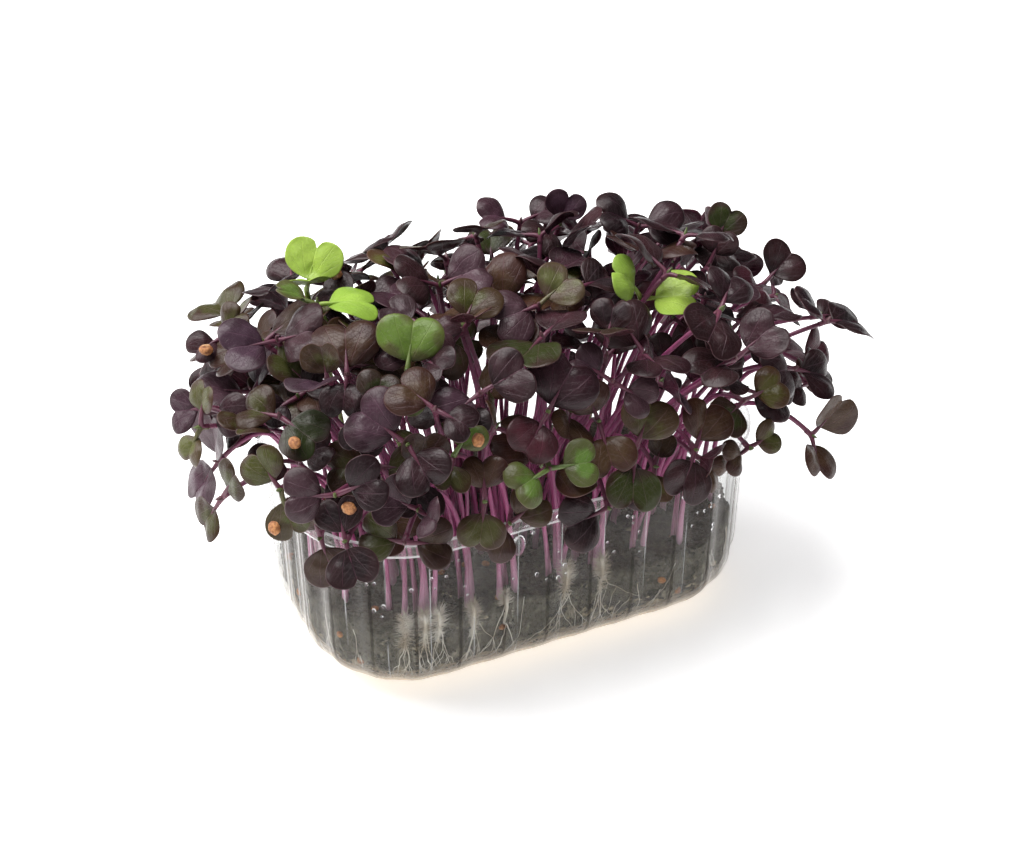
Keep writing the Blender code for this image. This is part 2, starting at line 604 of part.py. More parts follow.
def grow_seedlings():
    """Places every seedling. Each is tried in several poses until its leaves and stem clear all the others."""
    rng = random.Random(SEED)
    wall = tray_tree()
    placed, trees = [], []

    shown, towards = [], facing(*SHOWN_TOWARDS)

    def clear(plant, covers=False):
        """True if it touches nothing and, where it may cover nothing, leaves the placed heads in sight."""
        if not within_limits(plant):
            return False
        tree = tree_of(plant, CLEARANCE)
        if tree.overlap(wall) or not covers and any(tree.ray_cast(spot, towards)[0] for spot in shown):
            return False
        if any((spot - plant.head).length < 0.110 and tree.overlap(old) for spot, old in trees):
            return False
        return not crosses_itself(plant)

    def keep(plant, tuft, kind):
        placed.append((plant, tuft, kind))
        trees.append((plant.head, tree_of(plant)))

    def by_hand(root, row, amount):
        """A seedling whose head is where the row puts it, but for a small random amount."""
        nudge = Vector([rng.uniform(-amount, amount) for _ in range(3)])
        head = (Vector(row[:3]) + nudge * 3) / 1000
        turn = math.radians(row[5]) + rng.uniform(-amount, amount) / 2
        widths = [width * (1 - 0.1 * amount) / 1000 for width in row[6:8]]
        lifts = [math.radians(lift + rng.uniform(-6, 6) * amount) for lift in row[8:10]]
        normal = jitter(rng, facing(*row[3:5]), 0.16 * amount)
        return Seedling(rng, (*root, SOIL_TOP - ROOT_SINK), head, normal, turn, widths, lifts)

    def try_row(root, row):
        for attempt in range(PLACED_TRIES):
            plant = by_hand(root, row, 2.2 * attempt / PLACED_TRIES)
            if clear(plant, True):
                return plant
        return None

    for number, (root, row) in enumerate(PALE_SEEDLINGS):
        plant = try_row(root, row)
        if not plant:
            raise RuntimeError("a pale seedling found no clear place")
        keep(plant, number, "pale")
        shown += lobe_middles(plant)

    tufts = [p for p in tuft_places() if all(math.dist(p, s[0]) > 0.0085 for s in PALE_SEEDLINGS)]
    jobs = []
    for number, (x, y) in enumerate(tufts):
        start = rng.uniform(0, 2 * math.pi)
        for k in range(SEEDLINGS_PER_TUFT):
            turn = start + 2 * math.pi * k / SEEDLINGS_PER_TUFT
            jobs.append((number, (x + TUFT_SPREAD * math.cos(turn), y + TUFT_SPREAD * math.sin(turn)), turn))
    jobs.sort(key=lambda job: -max(abs(job[1][0]) / TRAY_LENGTH, abs(job[1][1]) / TRAY_WIDTH))
    missed = 0
    for row in PLACED_HEADS:
        aim = (row[0] * HEAD_TO_ROOT[0], row[1] * HEAD_TO_ROOT[1])
        for job in sorted(jobs, key=lambda job: math.dist(job[1], aim))[:4]:
            plant = try_row(job[1], row)
            if plant:
                keep(plant, job[0], "tuft")
                jobs.remove(job)
                shown += lobe_middles(plant)
                break
        else:
            missed += 1
            print("no place for the head at", row[:3])
    for number, root, turn in jobs:
        spread = 0.0055
        guide = (root[0] + spread * math.cos(turn), root[1] + spread * math.sin(turn))
        for attempt in range(TRIES):
            stage = min(3, 4 * attempt // TRIES)
            shallow, deep, size, least_lift, most_lift = STAGES[stage]
            head, normal = canopy_head(guide, rng, rng.uniform(deep, shallow), rng.uniform(-0.24, 0.12))
            lifts = [math.radians(rng.uniform(least_lift, most_lift)) for _ in range(2)]
            widths = [rng.uniform(*BLADE_WIDTH) * size for _ in range(2)]
            normal = jitter(rng, normal, 0.38 + 0.1 * stage)
            turn = rng.uniform(0, 2 * math.pi)
            plant = Seedling(rng, (*root, SOIL_TOP - ROOT_SINK), head, normal, turn, widths, lifts)
            if clear(plant):
                keep(plant, number, "tuft")
                break
        else:
            missed += 1
    print("placed", len(placed), "missed", missed)
    return placed, tufts, place_husks(rng, placed, [tree for _, tree in trees])


def place_husks(rng, placed, trees):
    """Rests each husk just clear of the purple leaf nearest to its spot that has room for it."""
    husks = []
    for spot in HUSK_SPOTS:
        beds = []
        for plant, *_ in placed[len(PALE_SEEDLINGS):]:
            for which in (0, 1):
                for side in (slice(0, 5), slice(4, 9)):
                    lobe = plant.blade_outline(which)[0][side]
                    beds.append((sum(lobe, Vector()) / len(lobe), plant.blade_frame(which)[2]))
        beds.sort(key=lambda bed: (bed[0] - Vector(spot) / 1000).length)
        for rest, square in beds[:40]:
            up = square if square.z > 0 else -square
            place = rest + up * (BLADE_THICKNESS / 2 + HUSK_RADII[2] + HUSK_LIFT)
            spin = Euler((0, 0, rng.uniform(0, math.pi))).to_matrix().to_4x4()
            turn = up.to_track_quat("Z", "Y").to_matrix().to_4x4() @ spin
            bm = bmesh.new()
            husk_mesh(bm, place, turn)
            bmesh.ops.scale(bm, vec=(1.3, 1.3, 1.3), space=Matrix.Translation(-place), verts=bm.verts)
            tree = BVHTree.FromBMesh(bm)
            bm.free()
            apart = all((place - other).length > 0.008 for other, _ in husks)
            if up.z > 0.35 and apart and not any(tree.overlap(old) for old in trees):
                husks.append((place, turn))
                break
    return husks


def join(name, parts, finish):
    """One body from the parts, by one Boolean union on a collection."""
    pool = bpy.data.collections.new(name + " parts")
    bpy.context.scene.collection.children.link(pool)
    for part in parts[1:]:
        bpy.context.scene.collection.objects.unlink(part)
        pool.objects.link(part)
    whole = parts[0]
    whole.name = name
    union = whole.modifiers.new("joined", "BOOLEAN")
    union.operation = "UNION"
    union.operand_type = "COLLECTION"
    union.collection = pool
    union.solver = "EXACT"
    bpy.context.view_layer.update()
    mesh = bpy.data.meshes.new_from_object(whole.evaluated_get(bpy.context.evaluated_depsgraph_get()))
    whole.modifiers.clear()
    bm = bmesh.new()
    bm.from_mesh(mesh)
    bmesh.ops.remove_doubles(bm, verts=bm.verts, dist=MERGE)
    bmesh.ops.dissolve_degenerate(bm, edges=bm.edges, dist=MERGE)
    bmesh.ops.triangulate(bm, faces=bm.faces)
    bm.to_mesh(mesh)
    bm.free()
    whole.data = mesh
    mesh.name = name
    mesh.materials.clear()
    mesh.materials.append(material(finish))
    for part in parts[1:]:
        bpy.data.objects.remove(part)
    bpy.data.collections.remove(pool)
    return whole


def build_tuft(name, centre, plants, radius, finish):
    """A root plug with its seedlings sunk into it."""
    bm = bmesh.new()
    add_plug(bm, centre, radius, PLUG_TOP - PLUG_DEPTH, PLUG_TOP)
    parts = [add_object(name, bm, finish)]
    for number, plant in enumerate(plants):
        bm = bmesh.new()
        seedling_mesh(bm, plant)
        parts.append(add_object(f"{name}_stem_{number}", bm, finish))
    return join(name, parts, finish)


def main():
    clear_scene()
    build_tray()
    placed, tufts, husks = grow_seedlings()
    holes = []
    for number, (root, *_) in enumerate(PALE_SEEDLINGS):
        plants = [p for p, tuft, kind in placed if kind == "pale" and tuft == number]
        build_tuft(f"pale_seedling_{number + 1}", root, plants, LONE_PLUG_RADIUS, "pale green seedlings")
        holes.append((*root, LONE_PLUG_RADIUS))
    for number, centre in enumerate(tufts):
        plants = [p for p, tuft, kind in placed if kind == "tuft" and tuft == number]
        if plants:
            finish = "olive seedlings" if number % 4 == 1 else "purple seedlings"
            build_tuft(f"tuft_{number + 1:02d}", centre, plants, PLUG_RADIUS, finish)
            holes.append((*centre, PLUG_RADIUS))
    build_soil(holes)
    for number, (place, turn) in enumerate(husks):
        bm = bmesh.new()
        husk_mesh(bm, place, turn)
        husk = add_object(f"seed_husk_{number + 1}", bm, "seed husk")
        husk.data.shade_smooth()


main()
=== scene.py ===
"""Looks for the radish microgreens tray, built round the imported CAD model.

Metres, +Z up, in the model's own frame. The seedlings' layout is grown here by the same rules and the same
seed as the model's solids, so each finer seedling stands where its solid one does.
"""

import json
import math
import random

import bmesh
import bpy
import numpy as np
from mathutils import Euler, Matrix, Vector, noise
from mathutils.bvhtree import BVHTree
from mathutils.geometry import intersect_ray_tri

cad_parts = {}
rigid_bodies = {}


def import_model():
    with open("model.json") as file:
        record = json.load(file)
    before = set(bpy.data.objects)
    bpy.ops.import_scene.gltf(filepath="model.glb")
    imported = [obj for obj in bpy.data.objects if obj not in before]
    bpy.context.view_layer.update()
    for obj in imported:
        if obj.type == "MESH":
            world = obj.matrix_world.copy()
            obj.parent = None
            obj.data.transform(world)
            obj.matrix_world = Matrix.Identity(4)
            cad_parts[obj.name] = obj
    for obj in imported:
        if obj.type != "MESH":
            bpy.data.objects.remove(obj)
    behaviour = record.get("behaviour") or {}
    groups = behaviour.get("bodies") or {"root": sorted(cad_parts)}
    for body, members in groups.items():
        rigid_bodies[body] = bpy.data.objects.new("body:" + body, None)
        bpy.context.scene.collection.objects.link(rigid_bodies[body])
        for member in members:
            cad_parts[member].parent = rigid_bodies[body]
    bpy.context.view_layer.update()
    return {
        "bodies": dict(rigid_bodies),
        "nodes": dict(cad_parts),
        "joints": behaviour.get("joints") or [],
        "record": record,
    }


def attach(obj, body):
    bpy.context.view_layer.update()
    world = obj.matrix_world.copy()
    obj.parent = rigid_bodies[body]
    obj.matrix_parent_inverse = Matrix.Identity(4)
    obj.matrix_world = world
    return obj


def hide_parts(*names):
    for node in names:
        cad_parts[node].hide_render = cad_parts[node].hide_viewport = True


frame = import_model()

bl_info = {
    "name": "Radish microgreens tray",
    "version": (1, 0, 0),
    "blender": (4, 5, 0),
    "location": "View3D > Sidebar > Microgreens",
    "description": "Builds a clear fluted tray of growing medium with a mound of radish seedlings",
    "category": "Add Mesh",
}

# Tray, as in the model
TRAY_LENGTH = 0.130
TRAY_WIDTH = 0.081
TRAY_HEIGHT = 0.053
TRAY_CORNER = 0.031
WALL = 0.0007
RIM_BAND = 0.0045
RIM_STEP = 0.0020
TRAY_TAPER = 0.0010
BASE_FILLET = 0.0150
FLUTES = 30
POINTS_PER_FLUTE = 2
FLUTE_DEPTH = 0.0006
# Where a painted highlight line runs down each flute, as an angle on from its crest
HIGHLIGHT_LINE_ANGLE = 2.14

# Growing medium and root plugs, as in the model
SOIL_TOP = 0.024
FIT_GAP = 0.0005
SOIL_BUMP = 0.0007
PLUG_RADIUS = 0.0038
PLUG_TAPER = 0.10
PLUG_TOP = SOIL_TOP + 0.0012
PLUG_DEPTH = 0.0100
ROOT_SINK = 0.0025
LONE_PLUG_RADIUS = 0.0026
TUFT_SPREAD = 0.0017

# Stems and leaves, as in the model
STEM_WIDTH = 0.0017
STEM_STEPS = 4
STEM_FOOT = PLUG_TOP + 0.0012
BLADE_THICKNESS = 0.0007
BLADE_WIDTH = (0.0125, 0.0185)
PETIOLE = (0.0018, 0.0042)
CLEARANCE = 0.0004
HALF_BLADE = ((0.30, 0.10), (0.50, 0.32), (0.40, 0.62), (0.20, 0.68))
NOTCH = 0.50

# The mound of leaves, as in the model
CANOPY_CENTRE = Vector((0.004, 0.002, 0.052))
CANOPY_LEFT = 0.090
CANOPY_RIGHT = 0.106
CANOPY_FRONT = 0.051
CANOPY_BACK = 0.048
CANOPY_RISE = 0.049
CANOPY_SQUARENESS = 0.68
LOWEST_AT_FRONT = math.radians(86)
LOWEST_AT_ENDS = math.radians(100)
LEAF_LEFT = -0.0905
LEAF_RIGHT = 0.1070
LEAF_SIDE = 0.0580
LEAF_LOWEST = 0.043
TUFT_ROWS = ((-0.0300, 7), (-0.0155, 8), (0.0, 8), (0.0155, 8), (0.0300, 6))
SEEDLINGS_PER_TUFT = 3
TRIES = 320
PLACED_TRIES = 60
# The placed heads show towards this bearing and rise, so no other leaf lies over them there
SHOWN_TOWARDS = (-25, 33)
HEAD_TO_ROOT = (0.00064, 0.00064)
SEED = 7
STAGES = (
    (1.05, 0.80, 1.0, 2, 38),
    (1.08, 0.68, 0.92, 5, 50),
    (1.08, 0.55, 0.82, 10, 60),
    (1.10, 0.45, 0.72, 15, 68),
)

# Leaf finishes: the colour of the top, then that of the blotches on it
LEAF_FINISHES = {
    "plum": ((0.033, 0.012, 0.017), (0.016, 0.006, 0.008)),
    # Plum lightened and blued: a painted sheen for leaves that catch the light.
    "lavender": ((0.064, 0.031, 0.048), (0.036, 0.015, 0.023)),
    # Plum darkened nearly to black: painted shade.
    "dusk": ((0.011, 0.005, 0.007), (0.020, 0.006, 0.008)),
    "olive": ((0.064, 0.066, 0.017), (0.044, 0.019, 0.012)),
    "brown": ((0.056, 0.030, 0.016), (0.034, 0.012, 0.010)),
    "moss": ((0.026, 0.036, 0.008), (0.026, 0.010, 0.009)),
    "fern": ((0.085, 0.150, 0.026), (0.062, 0.060, 0.022)),
    "sage": ((0.078, 0.092, 0.032), (0.056, 0.036, 0.026)),
    "lime": ((0.290, 0.440, 0.070), (0.240, 0.380, 0.055)),
    "brick": ((0.060, 0.012, 0.022), (0.030, 0.007, 0.011)),
}

# Shades of the grains in the crumbly parts of the medium, each from its share of the grains on
CRUMB_SHADES = (
    (0.0, (0.006, 0.005, 0.004)), (0.40, (0.028, 0.024, 0.017)),
    (0.62, (0.160, 0.140, 0.098)), (1.0, (0.560, 0.470, 0.320)),
)

GREEN_FINISHES = ("lime", "fern", "sage")
# How deep the other finishes are along the mound: places along X, then the share of their colour there
DEPTH_ALONG = ((-0.050, 0.0, 0.050), (0.78, 1.10, 0.98))

# A head, as listed: its place in millimetres, the bearing it faces from the front and how far up it
# faces, the turn of its pair of leaves, the width and lift of each leaf, and each leaf's finish
PALE_SEEDLINGS = (
    ((-0.036, 0.022), (-46, 22, 94, -10, 72, 75, 15, 11, 44, 66, "lime", "lime")),
    ((-0.022, 0.007), (-49, 5, 99, 155, 80, 180, 17, 11, 6, 25, "lime", "fern")),
    ((0.026, 0.008), (33, -12, 90, -10, 66, -15, 16, 13, 26, 60, "lime", "lime")),
)
PLACED_HEADS = (
    (-44, -40, 83, -28, 34, 135, 16, 14, 10, 15, "lavender", "plum"),
    (-80, 0, 80, -60, 34, 190, 11, 11, 12, 8, "lavender", "plum"),
    (-87, -12, 66, -58, 22, 30, 13, 14, 12, 8, "olive", "olive"),
    (-84, -18, 59, -60, 14, -80, 13, 12, 10, 25, "brown", "olive"),
    (-87, -3, 74, -66, 26, 70, 12, 11, 10, 20, "olive", "sage"),
    (86, -13, 60, 45, 40, -10, 14, 12, 30, 10, "brick", "brown"),
    (84, 4, 70, 60, 30, 30, 13, 13, 15, 20, "plum", "brick"),
    (80, -26, 58, 35, 30, -40, 14, 12, 12, 10, "dusk", "plum"),
    (-36, 13, 97, -10, 76, -15, 15, 15, 10, 12, "plum", "dusk"),
    (-61, 2, 93, -35, 60, 20, 17, 16, 30, 20, "lavender", "lavender"),
    (-70, 18, 88, -40, 55, 60, 10, 10, 40, 20, "olive", "plum"),
    (-65, -5, 89, -40, 45, 75, 12, 12, 10, 15, "dusk", "plum"),
    (-51, -20, 93, -28, 46, 88, 17, 12, 5, 5, "brown", "plum"),
    (-38, -26, 94, -25, 44, 82, 16, 11, 8, 5, "fern", "fern"),
    (-29, -14, 98, -20, 62, -40, 10, 11, 5, 5, "lavender", "lavender"),
    (-18, 1, 99, -10, 64, 0, 15, 15, 38, 34, "lavender", "plum"),
    (-20, -17, 96, -20, 50, 70, 14, 13, 10, 10, "olive", "moss"),
    (-38, -36, 88, -22, 42, 95, 16, 12, 6, 10, "brown", "plum"),
    (-51, -33, 87, -35, 42, 100, 12, 12, 8, 5, "moss", "plum"),
    (-36, -42, 80, -18, 40, 45, 11, 10, 30, 20, "fern", "olive"),
    (-24, -36, 90, -15, 44, 30, 14, 13, 15, 5, "plum", "lavender"),
    (-69, -17, 86, -35, 62, 0, 15, 14, 4, 6, "moss", "olive"),
    (-73, -31, 73, -48, 24, 120, 12, 12, 10, 15, "olive", "sage"),
    (-63, -38, 72, -30, 30, 20, 14, 14, 15, 25, "plum", "lavender"),
    (-64, -40, 62, -32, 24, -25, 15, 14, 10, 12, "dusk", "dusk"),
    (-49, -46, 65, -18, 32, 10, 15, 15, 8, 10, "brown", "olive"),
    (-28, -48, 67, -12, 30, 92, 11, 12, 4, 6, "brown", "olive"),
    (-19, -48, 57, -10, 24, 55, 13, 13, 10, 10, "olive", "brown"),
    (1, -17, 98, -15, 54, 200, 15, 13, 10, 15, "lavender", "sage"),
    (27, 24, 96, 0, 60, 40, 11, 12, 55, 20, "lavender", "plum"),
    (20, 32, 94, 0, 74, -15, 12, 13, 22, 26, "plum", "lavender"),
    (48, 18, 94, 10, 64, -20, 15, 15, 18, 24, "plum", "dusk"),
    (70, 14, 86, 20, 60, 40, 11, 13, 55, 15, "moss", "plum"),
    (74, -6, 82, 30, 54, 0, 13, 13, 40, 18, "plum", "brick"),
    (-8, -41, 83, -12, 40, 60, 18, 13, 8, 10, "plum", "brick"),
    (11, -38, 85, -8, 44, -35, 11, 11, 8, 5, "lavender", "lavender"),
    (13, -47, 69, -4, 34, 70, 15, 15, 8, 8, "olive", "moss"),
    (-10, -46, 74, -10, 38, 35, 13, 13, 15, 20, "fern", "fern"),
    (30, -46, 63, 4, 30, 80, 15, 15, 6, 8, "brown", "plum"),
    (48, -41, 56, 10, 26, -10, 10, 10, 15, 15, "olive", "brown"),
    (68, -32, 71, 30, 36, -30, 14, 14, 10, 20, "dusk", "plum"),
    (50, -38, 70, 12, 44, 10, 12, 12, 30, 15, "olive", "moss"),
    (5, -49, 56, -5, 24, 200, 15, 13, 8, 10, "dusk", "plum"),
    (18, -47, 59, 0, 24, -95, 12, 11, 6, 12, "olive", "brown"),
)
# Finishes of the other seedlings, towards the left and towards the right of the mound
LEFT_FINISHES = ("plum", "brown", "dusk", "lavender", "brown", "olive", "moss", "plum", "olive")
RIGHT_FINISHES = ("plum", "dusk", "plum", "brick", "dusk", "lavender", "plum", "brown")

# Seedlings added between the model's own: the shares of the mound's depth, the size, the range of the
# leaves' lift, and how many places are tried
FILL_STAGES = (
    (1.06, 0.94, 1.05, 2, 45, 4000),
    (0.98, 0.82, 1.00, 2, 50, 4000),
    (1.05, 0.80, 0.82, 5, 60, 4000),
    (0.85, 0.60, 0.90, 2, 55, 3000),
)
FILL_CLEARANCE = 0.00030
SEEDLINGS_TO_A_PIECE = 24
# The seedlings that rise from the root collars, and how far inside the wall's outer skin they root
COLLAR_STAGE = (1.06, 0.75, 0.80, 5, 55, 500)
COLLAR_DEPTH = 0.0052

# Droplets on the rim and on the wall: how many, then the ranges of their place along X in millimetres, of
# their height and of their radius, and how tall they are for their width
DROPLETS = (
    (9, (-16, 2), (0.0497, 0.0515), (0.0004, 0.0008), 1.0),
    (60, (-58, 58), (0.028, 0.047), (0.0003, 0.0006), 1.2),
)

HUSK_SPOTS = ((-33, 18, 101), (-72, 15, 88), (-76, -32, 70), (-69, -33, 77), (-58, -40, 72), (-25, -44, 81))
HUSK_RADII = (0.0018, 0.0015, 0.0012)
HUSK_LIFT = 0.0008

# Outline of half a finer leaf, as shares of its width, from its base round its lobe to its notch
FINE_HALF = (
    (0.0, 0.0), (0.10, 0.008), (0.30, 0.070), (0.455, 0.185), (0.515, 0.34),
    (0.505, 0.50), (0.425, 0.620), (0.305, 0.685), (0.175, 0.695), (0.070, 0.655),
    (0.0, 0.580),
)
LEAF_MIDDLE = (0.0, 0.33)
# Along a stem, as shares of its length: its radius, and where its root, middle and top colours lie; from the
# middle up the colour darkens as painted shade under the leaves
STEM_RADII = ((0, 0.05, 0.12, 0.5, 1), (0.00095, 0.00092, 0.00066, 0.00064, 0.00068))
STEM_STOPS = (0, 0.04, 0.16, 0.70, 1)
PALE_STEM = ((0.60, 0.62, 0.42), (0.36, 0.46, 0.16), (0.26, 0.40, 0.08))

# The floor lies just below the tray's base
FLOOR_CORNERS = ((-1, -1), (1, -1), (1, 1), (-1, 1))
FLOOR_REACH = 8.0
FLOOR_LEVEL = -0.0002

# The camera, and the mound's outline in its picture, within which the added seedlings stay
CAMERA = Vector((-0.17998, -0.38767, 0.32588))
CAMERA_BEARING = math.radians(-25.11)
CAMERA_RISE = math.radians(32.55)
LENS = 66.8
SENSOR = 36.0
PICTURE = (1024, 852)
MOUND_OUTLINE = (
    (283, 238), (330, 238), (345, 250), (420, 242), (440, 230), (500, 224), (512, 204), (545, 203),
    (575, 190), (592, 198), (602, 218), (640, 210), (680, 226), (735, 216), (744, 236), (778, 250),
    (772, 276), (802, 298), (814, 322), (824, 318), (862, 352), (862, 370), (828, 394), (797, 420),
    (792, 446), (772, 425), (760, 440), (762, 462), (748, 478), (742, 500), (700, 510), (640, 515),
    (600, 555), (560, 540), (512, 554), (470, 540), (430, 549), (385, 568), (345, 540), (300, 540),
    (280, 512), (262, 512), (245, 485), (235, 524), (215, 528), (180, 470), (183, 400), (203, 318),
    (225, 296), (262, 298), (300, 288),
)

# Root collars seen through the front wall: their place along X and height, in millimetres, and their
# radii from the top down
COLLARS = ((-46, 27), (-40.5, 27.5), (-36, 27), (-26, 26), (-17.5, 27), (0.5, 30), (11, 29))
COLLAR_RADII = (0.00050, 0.00060, 0.00055, 0.00045, 0.00035, 0.00015)


# Sizes and colours that a user would change


def length(name, description, default):
    return bpy.props.FloatProperty(name=name, description=description, default=default, unit="LENGTH")


def power(name, description, default):
    return bpy.props.FloatProperty(name=name, description=description, default=default, unit="POWER")


def plain(name, description, default):
    return bpy.props.FloatProperty(name=name, description=description, default=default)


def count(name, description, default):
    return bpy.props.IntProperty(name=name, description=description, default=default)


def colour(name, description, default):
    return bpy.props.FloatVectorProperty(name=name, description=description, default=default, subtype="COLOR")


class TraySettings(bpy.types.PropertyGroup):
    """The clear tray."""

    length: length("Length", "Length over the rim", TRAY_LENGTH)
    width: length("Width", "Width over the rim", TRAY_WIDTH)
    corner: length("Corner radius", "Radius of the rim's corners", TRAY_CORNER)
    flutes: count("Flutes", "Number of flutes round the wall", FLUTES)
    flute_depth: length("Flute depth", "How far a flute stands in and out", FLUTE_DEPTH)
    points: count("Points per flute", "Points round the wall for each flute", 10)
    haze: plain("Haze", "How milky each face of the wall is", 0.035)
    tint: colour("Tint", "Colour of the haze", (0.62, 0.58, 0.54))
    foot: colour("Foot", "Colour of the milky foot", (0.72, 0.56, 0.35))


class MediumSettings(bpy.types.PropertyGroup):
    """The growing medium and what is in it."""

    fibre: colour("Fibre", "Colour of the damp fibre", (0.150, 0.135, 0.098))
    crumb: colour("Crumb", "Colour of the dark crumbs", (0.020, 0.016, 0.012))
    mat: colour("Root mat", "Colour of the mat of roots at the foot", (0.62, 0.51, 0.35))
    fuzz: colour("Fuzz", "Colour of the fine roots near the wall", (0.46, 0.41, 0.32))
    crumbs: plain("Crumbs", "Crumbs on each square metre of the medium", 160000.0)
    crumb_size: length("Crumb size", "Radius of the largest crumbs", 0.00065)
    husks: plain("Husks", "Husks on each square metre of the medium", 2600.0)
    husk_size: length("Husk size", "Radius of the largest husks in the medium", 0.0013)
    roots: count("Roots", "Roots that run down inside the wall", 70)
    hairs: plain("Root hairs", "Root hairs on each square metre of the root collars", 2.2e7)
    hair_length: length("Root hair length", "Length of the longest root hairs", 0.0034)


class SeedlingSettings(bpy.types.PropertyGroup):
    """The seedlings."""

    sides: count("Leaf points", "Points round a leaf's edge", 44)
    stem_sides: count("Stem sides", "Sides of a stem", 9)
    stem_rings: count("Stem rings", "Rings along a stem", 22)
    thickness: length("Leaf thickness", "Thickness at a leaf's middle", 0.00060)
    underside: colour("Underside", "Colour under a purple leaf", (0.066, 0.016, 0.030))
    stem: colour("Stem", "Colour of a stem", (0.330, 0.062, 0.175))
    # The stem's colour at its head is darkened as painted shade under the leaves.
    shaded_stem_top: colour("Stem top", "Colour of a stem at its head", (0.120, 0.028, 0.055))
    root: colour("Root", "Colour of a stem at its root", (0.56, 0.30, 0.42))


class StageSettings(bpy.types.PropertyGroup):
    """Floor, light and camera."""

    floor: colour("Floor", "Colour of the floor", (0.94, 0.94, 0.94))
    sky: plain("Sky", "Strength of the light all round", 0.10)
    overhead: power("Overhead", "Power of the wide light overhead", 30.0)
    key: power("Key", "Power of the light above and behind on the left", 9.0)
    fill: power("Fill", "Power of the light in front on the left", 2.5)
    lens: plain("Lens", "Focal length in millimetres", LENS)


# Node trees


class Value:
    """A number in a node tree, which sums and products turn into Math nodes."""

    def __init__(self, nodes, socket):
        self.nodes = nodes
        self.socket = socket

    def maths(self, operation, *others):
        return self.nodes.maths(operation, self, *others)

    def __add__(self, other):
        return self.maths("ADD", other)

    def __radd__(self, other):
        return self.maths("ADD", other)

    def __sub__(self, other):
        return self.maths("SUBTRACT", other)

    def __rsub__(self, other):
        return self.nodes.maths("SUBTRACT", other, self)

    def __mul__(self, other):
        return self.maths("MULTIPLY", other)

    def __rmul__(self, other):
        return self.maths("MULTIPLY", other)

    def __truediv__(self, other):
        return self.maths("DIVIDE", other)

    def __rtruediv__(self, other):
        return self.nodes.maths("DIVIDE", other, self)

    def __pow__(self, other):
        return self.maths("POWER", other)

    def __neg__(self):
        return self.nodes.maths("SUBTRACT", 0.0, self)

    def __abs__(self):
        return self.maths("ABSOLUTE")

    def sine(self):
        return self.maths("SINE")

    def highest(self, other):
        return self.maths("MAXIMUM", other)

    def lowest(self, other):
        return self.maths("MINIMUM", other)

    def ramp(self, low, high):
        """0 below low, 1 above high and smooth between; the other way round where low is above high."""
        ends = (low, high, 0.0, 1.0) if low < high else (high, low, 1.0, 0.0)
        inputs = dict(enumerate((self, *ends)))
        made = self.nodes.node("ShaderNodeMapRange", {"interpolation_type": "SMOOTHSTEP"}, inputs)
        return Value(self.nodes, made.outputs[0])


class Nodes:
    """A node tree under construction."""

    def __init__(self, tree):
        self.tree = tree

    def node(self, kind, settings=None, inputs=None):
        """A node of that type with its settings made first, then the values or links of its sockets."""
        made = self.tree.nodes.new(kind)
        for name, value in (settings or {}).items():
            if name == "stops":
                ramp = made.color_ramp
                while len(ramp.elements) < len(value):
                    ramp.elements.new(0.5)
                for element, (place, colour) in zip(ramp.elements, value):
                    element.position = place
                    element.color = (*colour, 1.0)
            else:
                setattr(made, name, value)
        for name, value in (inputs or {}).items():
            self.join(made.inputs[name], value)
        return made

    def join(self, socket, value):
        if isinstance(value, Value):
            value = value.socket
        if isinstance(value, bpy.types.NodeSocket):
            self.tree.links.new(value, socket)
        elif socket.type == "RGBA":
            socket.default_value = (*value[:3], 1.0)
        else:
            socket.default_value = value

    def maths(self, operation, *values):
        made = self.node("ShaderNodeMath", {"operation": operation}, dict(enumerate(values)))
        return Value(self, made.outputs[0])

    def vector(self, operation, *values):
        """A Vector Math node's result: a number for a length or product of two, else a vector."""
        made = self.node("ShaderNodeVectorMath", {"operation": operation})
        for socket, value in zip(made.inputs, values):
            self.join(socket, value)
        if operation in ("LENGTH", "DISTANCE", "DOT_PRODUCT"):
            return Value(self, made.outputs["Value"])
        return made.outputs["Vector"]

    def scaled(self, vector, amount):
        made = self.node("ShaderNodeVectorMath", {"operation": "SCALE"}, {0: vector, "Scale": amount})
        return made.outputs["Vector"]

    def parts(self, vector):
        made = self.node("ShaderNodeSeparateXYZ", None, {0: vector})
        return [Value(self, socket) for socket in made.outputs]

    def joined(self, x, y, z):
        return self.node("ShaderNodeCombineXYZ", None, {0: x, 1: y, 2: z}).outputs[0]

    def mix(self, factor, first, second):
        """A colour between two."""
        made = self.node("ShaderNodeMix", {"data_type": "RGBA"}, {0: factor, 6: first, 7: second})
        return made.outputs[2]

    def place(self):
        return self.node("ShaderNodeTexCoord").outputs["Object"]

    def noise(self, vector, scale, detail=2.0, roughness=0.5, stretch=None):
        if stretch:
            vector = self.vector("MULTIPLY", vector, stretch)
        inputs = {"Vector": vector, "Scale": scale, "Detail": detail, "Roughness": roughness}
        return Value(self, self.node("ShaderNodeTexNoise", None, inputs).outputs[0])

    def cells(self, vector, scale, feature="F1"):
        return self.node("ShaderNodeTexVoronoi", {"feature": feature}, {"Vector": vector, "Scale": scale})

    def attribute(self, name, output="Color"):
        return self.node("ShaderNodeAttribute", {"attribute_name": name}).outputs[output]

    def bump(self, height, strength, distance):
        inputs = {"Strength": strength, "Distance": distance, "Height": height}
        return self.node("ShaderNodeBump", None, inputs).outputs[0]

    def principled(self, inputs):
        return self.node("ShaderNodeBsdfPrincipled", None, inputs)

    def surface(self, shader):
        self.node("ShaderNodeOutputMaterial", None, {"Surface": shader.outputs[0]})


def finish_tree(name):
    """A new material of that name and its emptied tree."""
    made = bpy.data.materials.new(name)
    made.use_nodes = True
    made.node_tree.nodes.clear()
    return made, Nodes(made.node_tree)


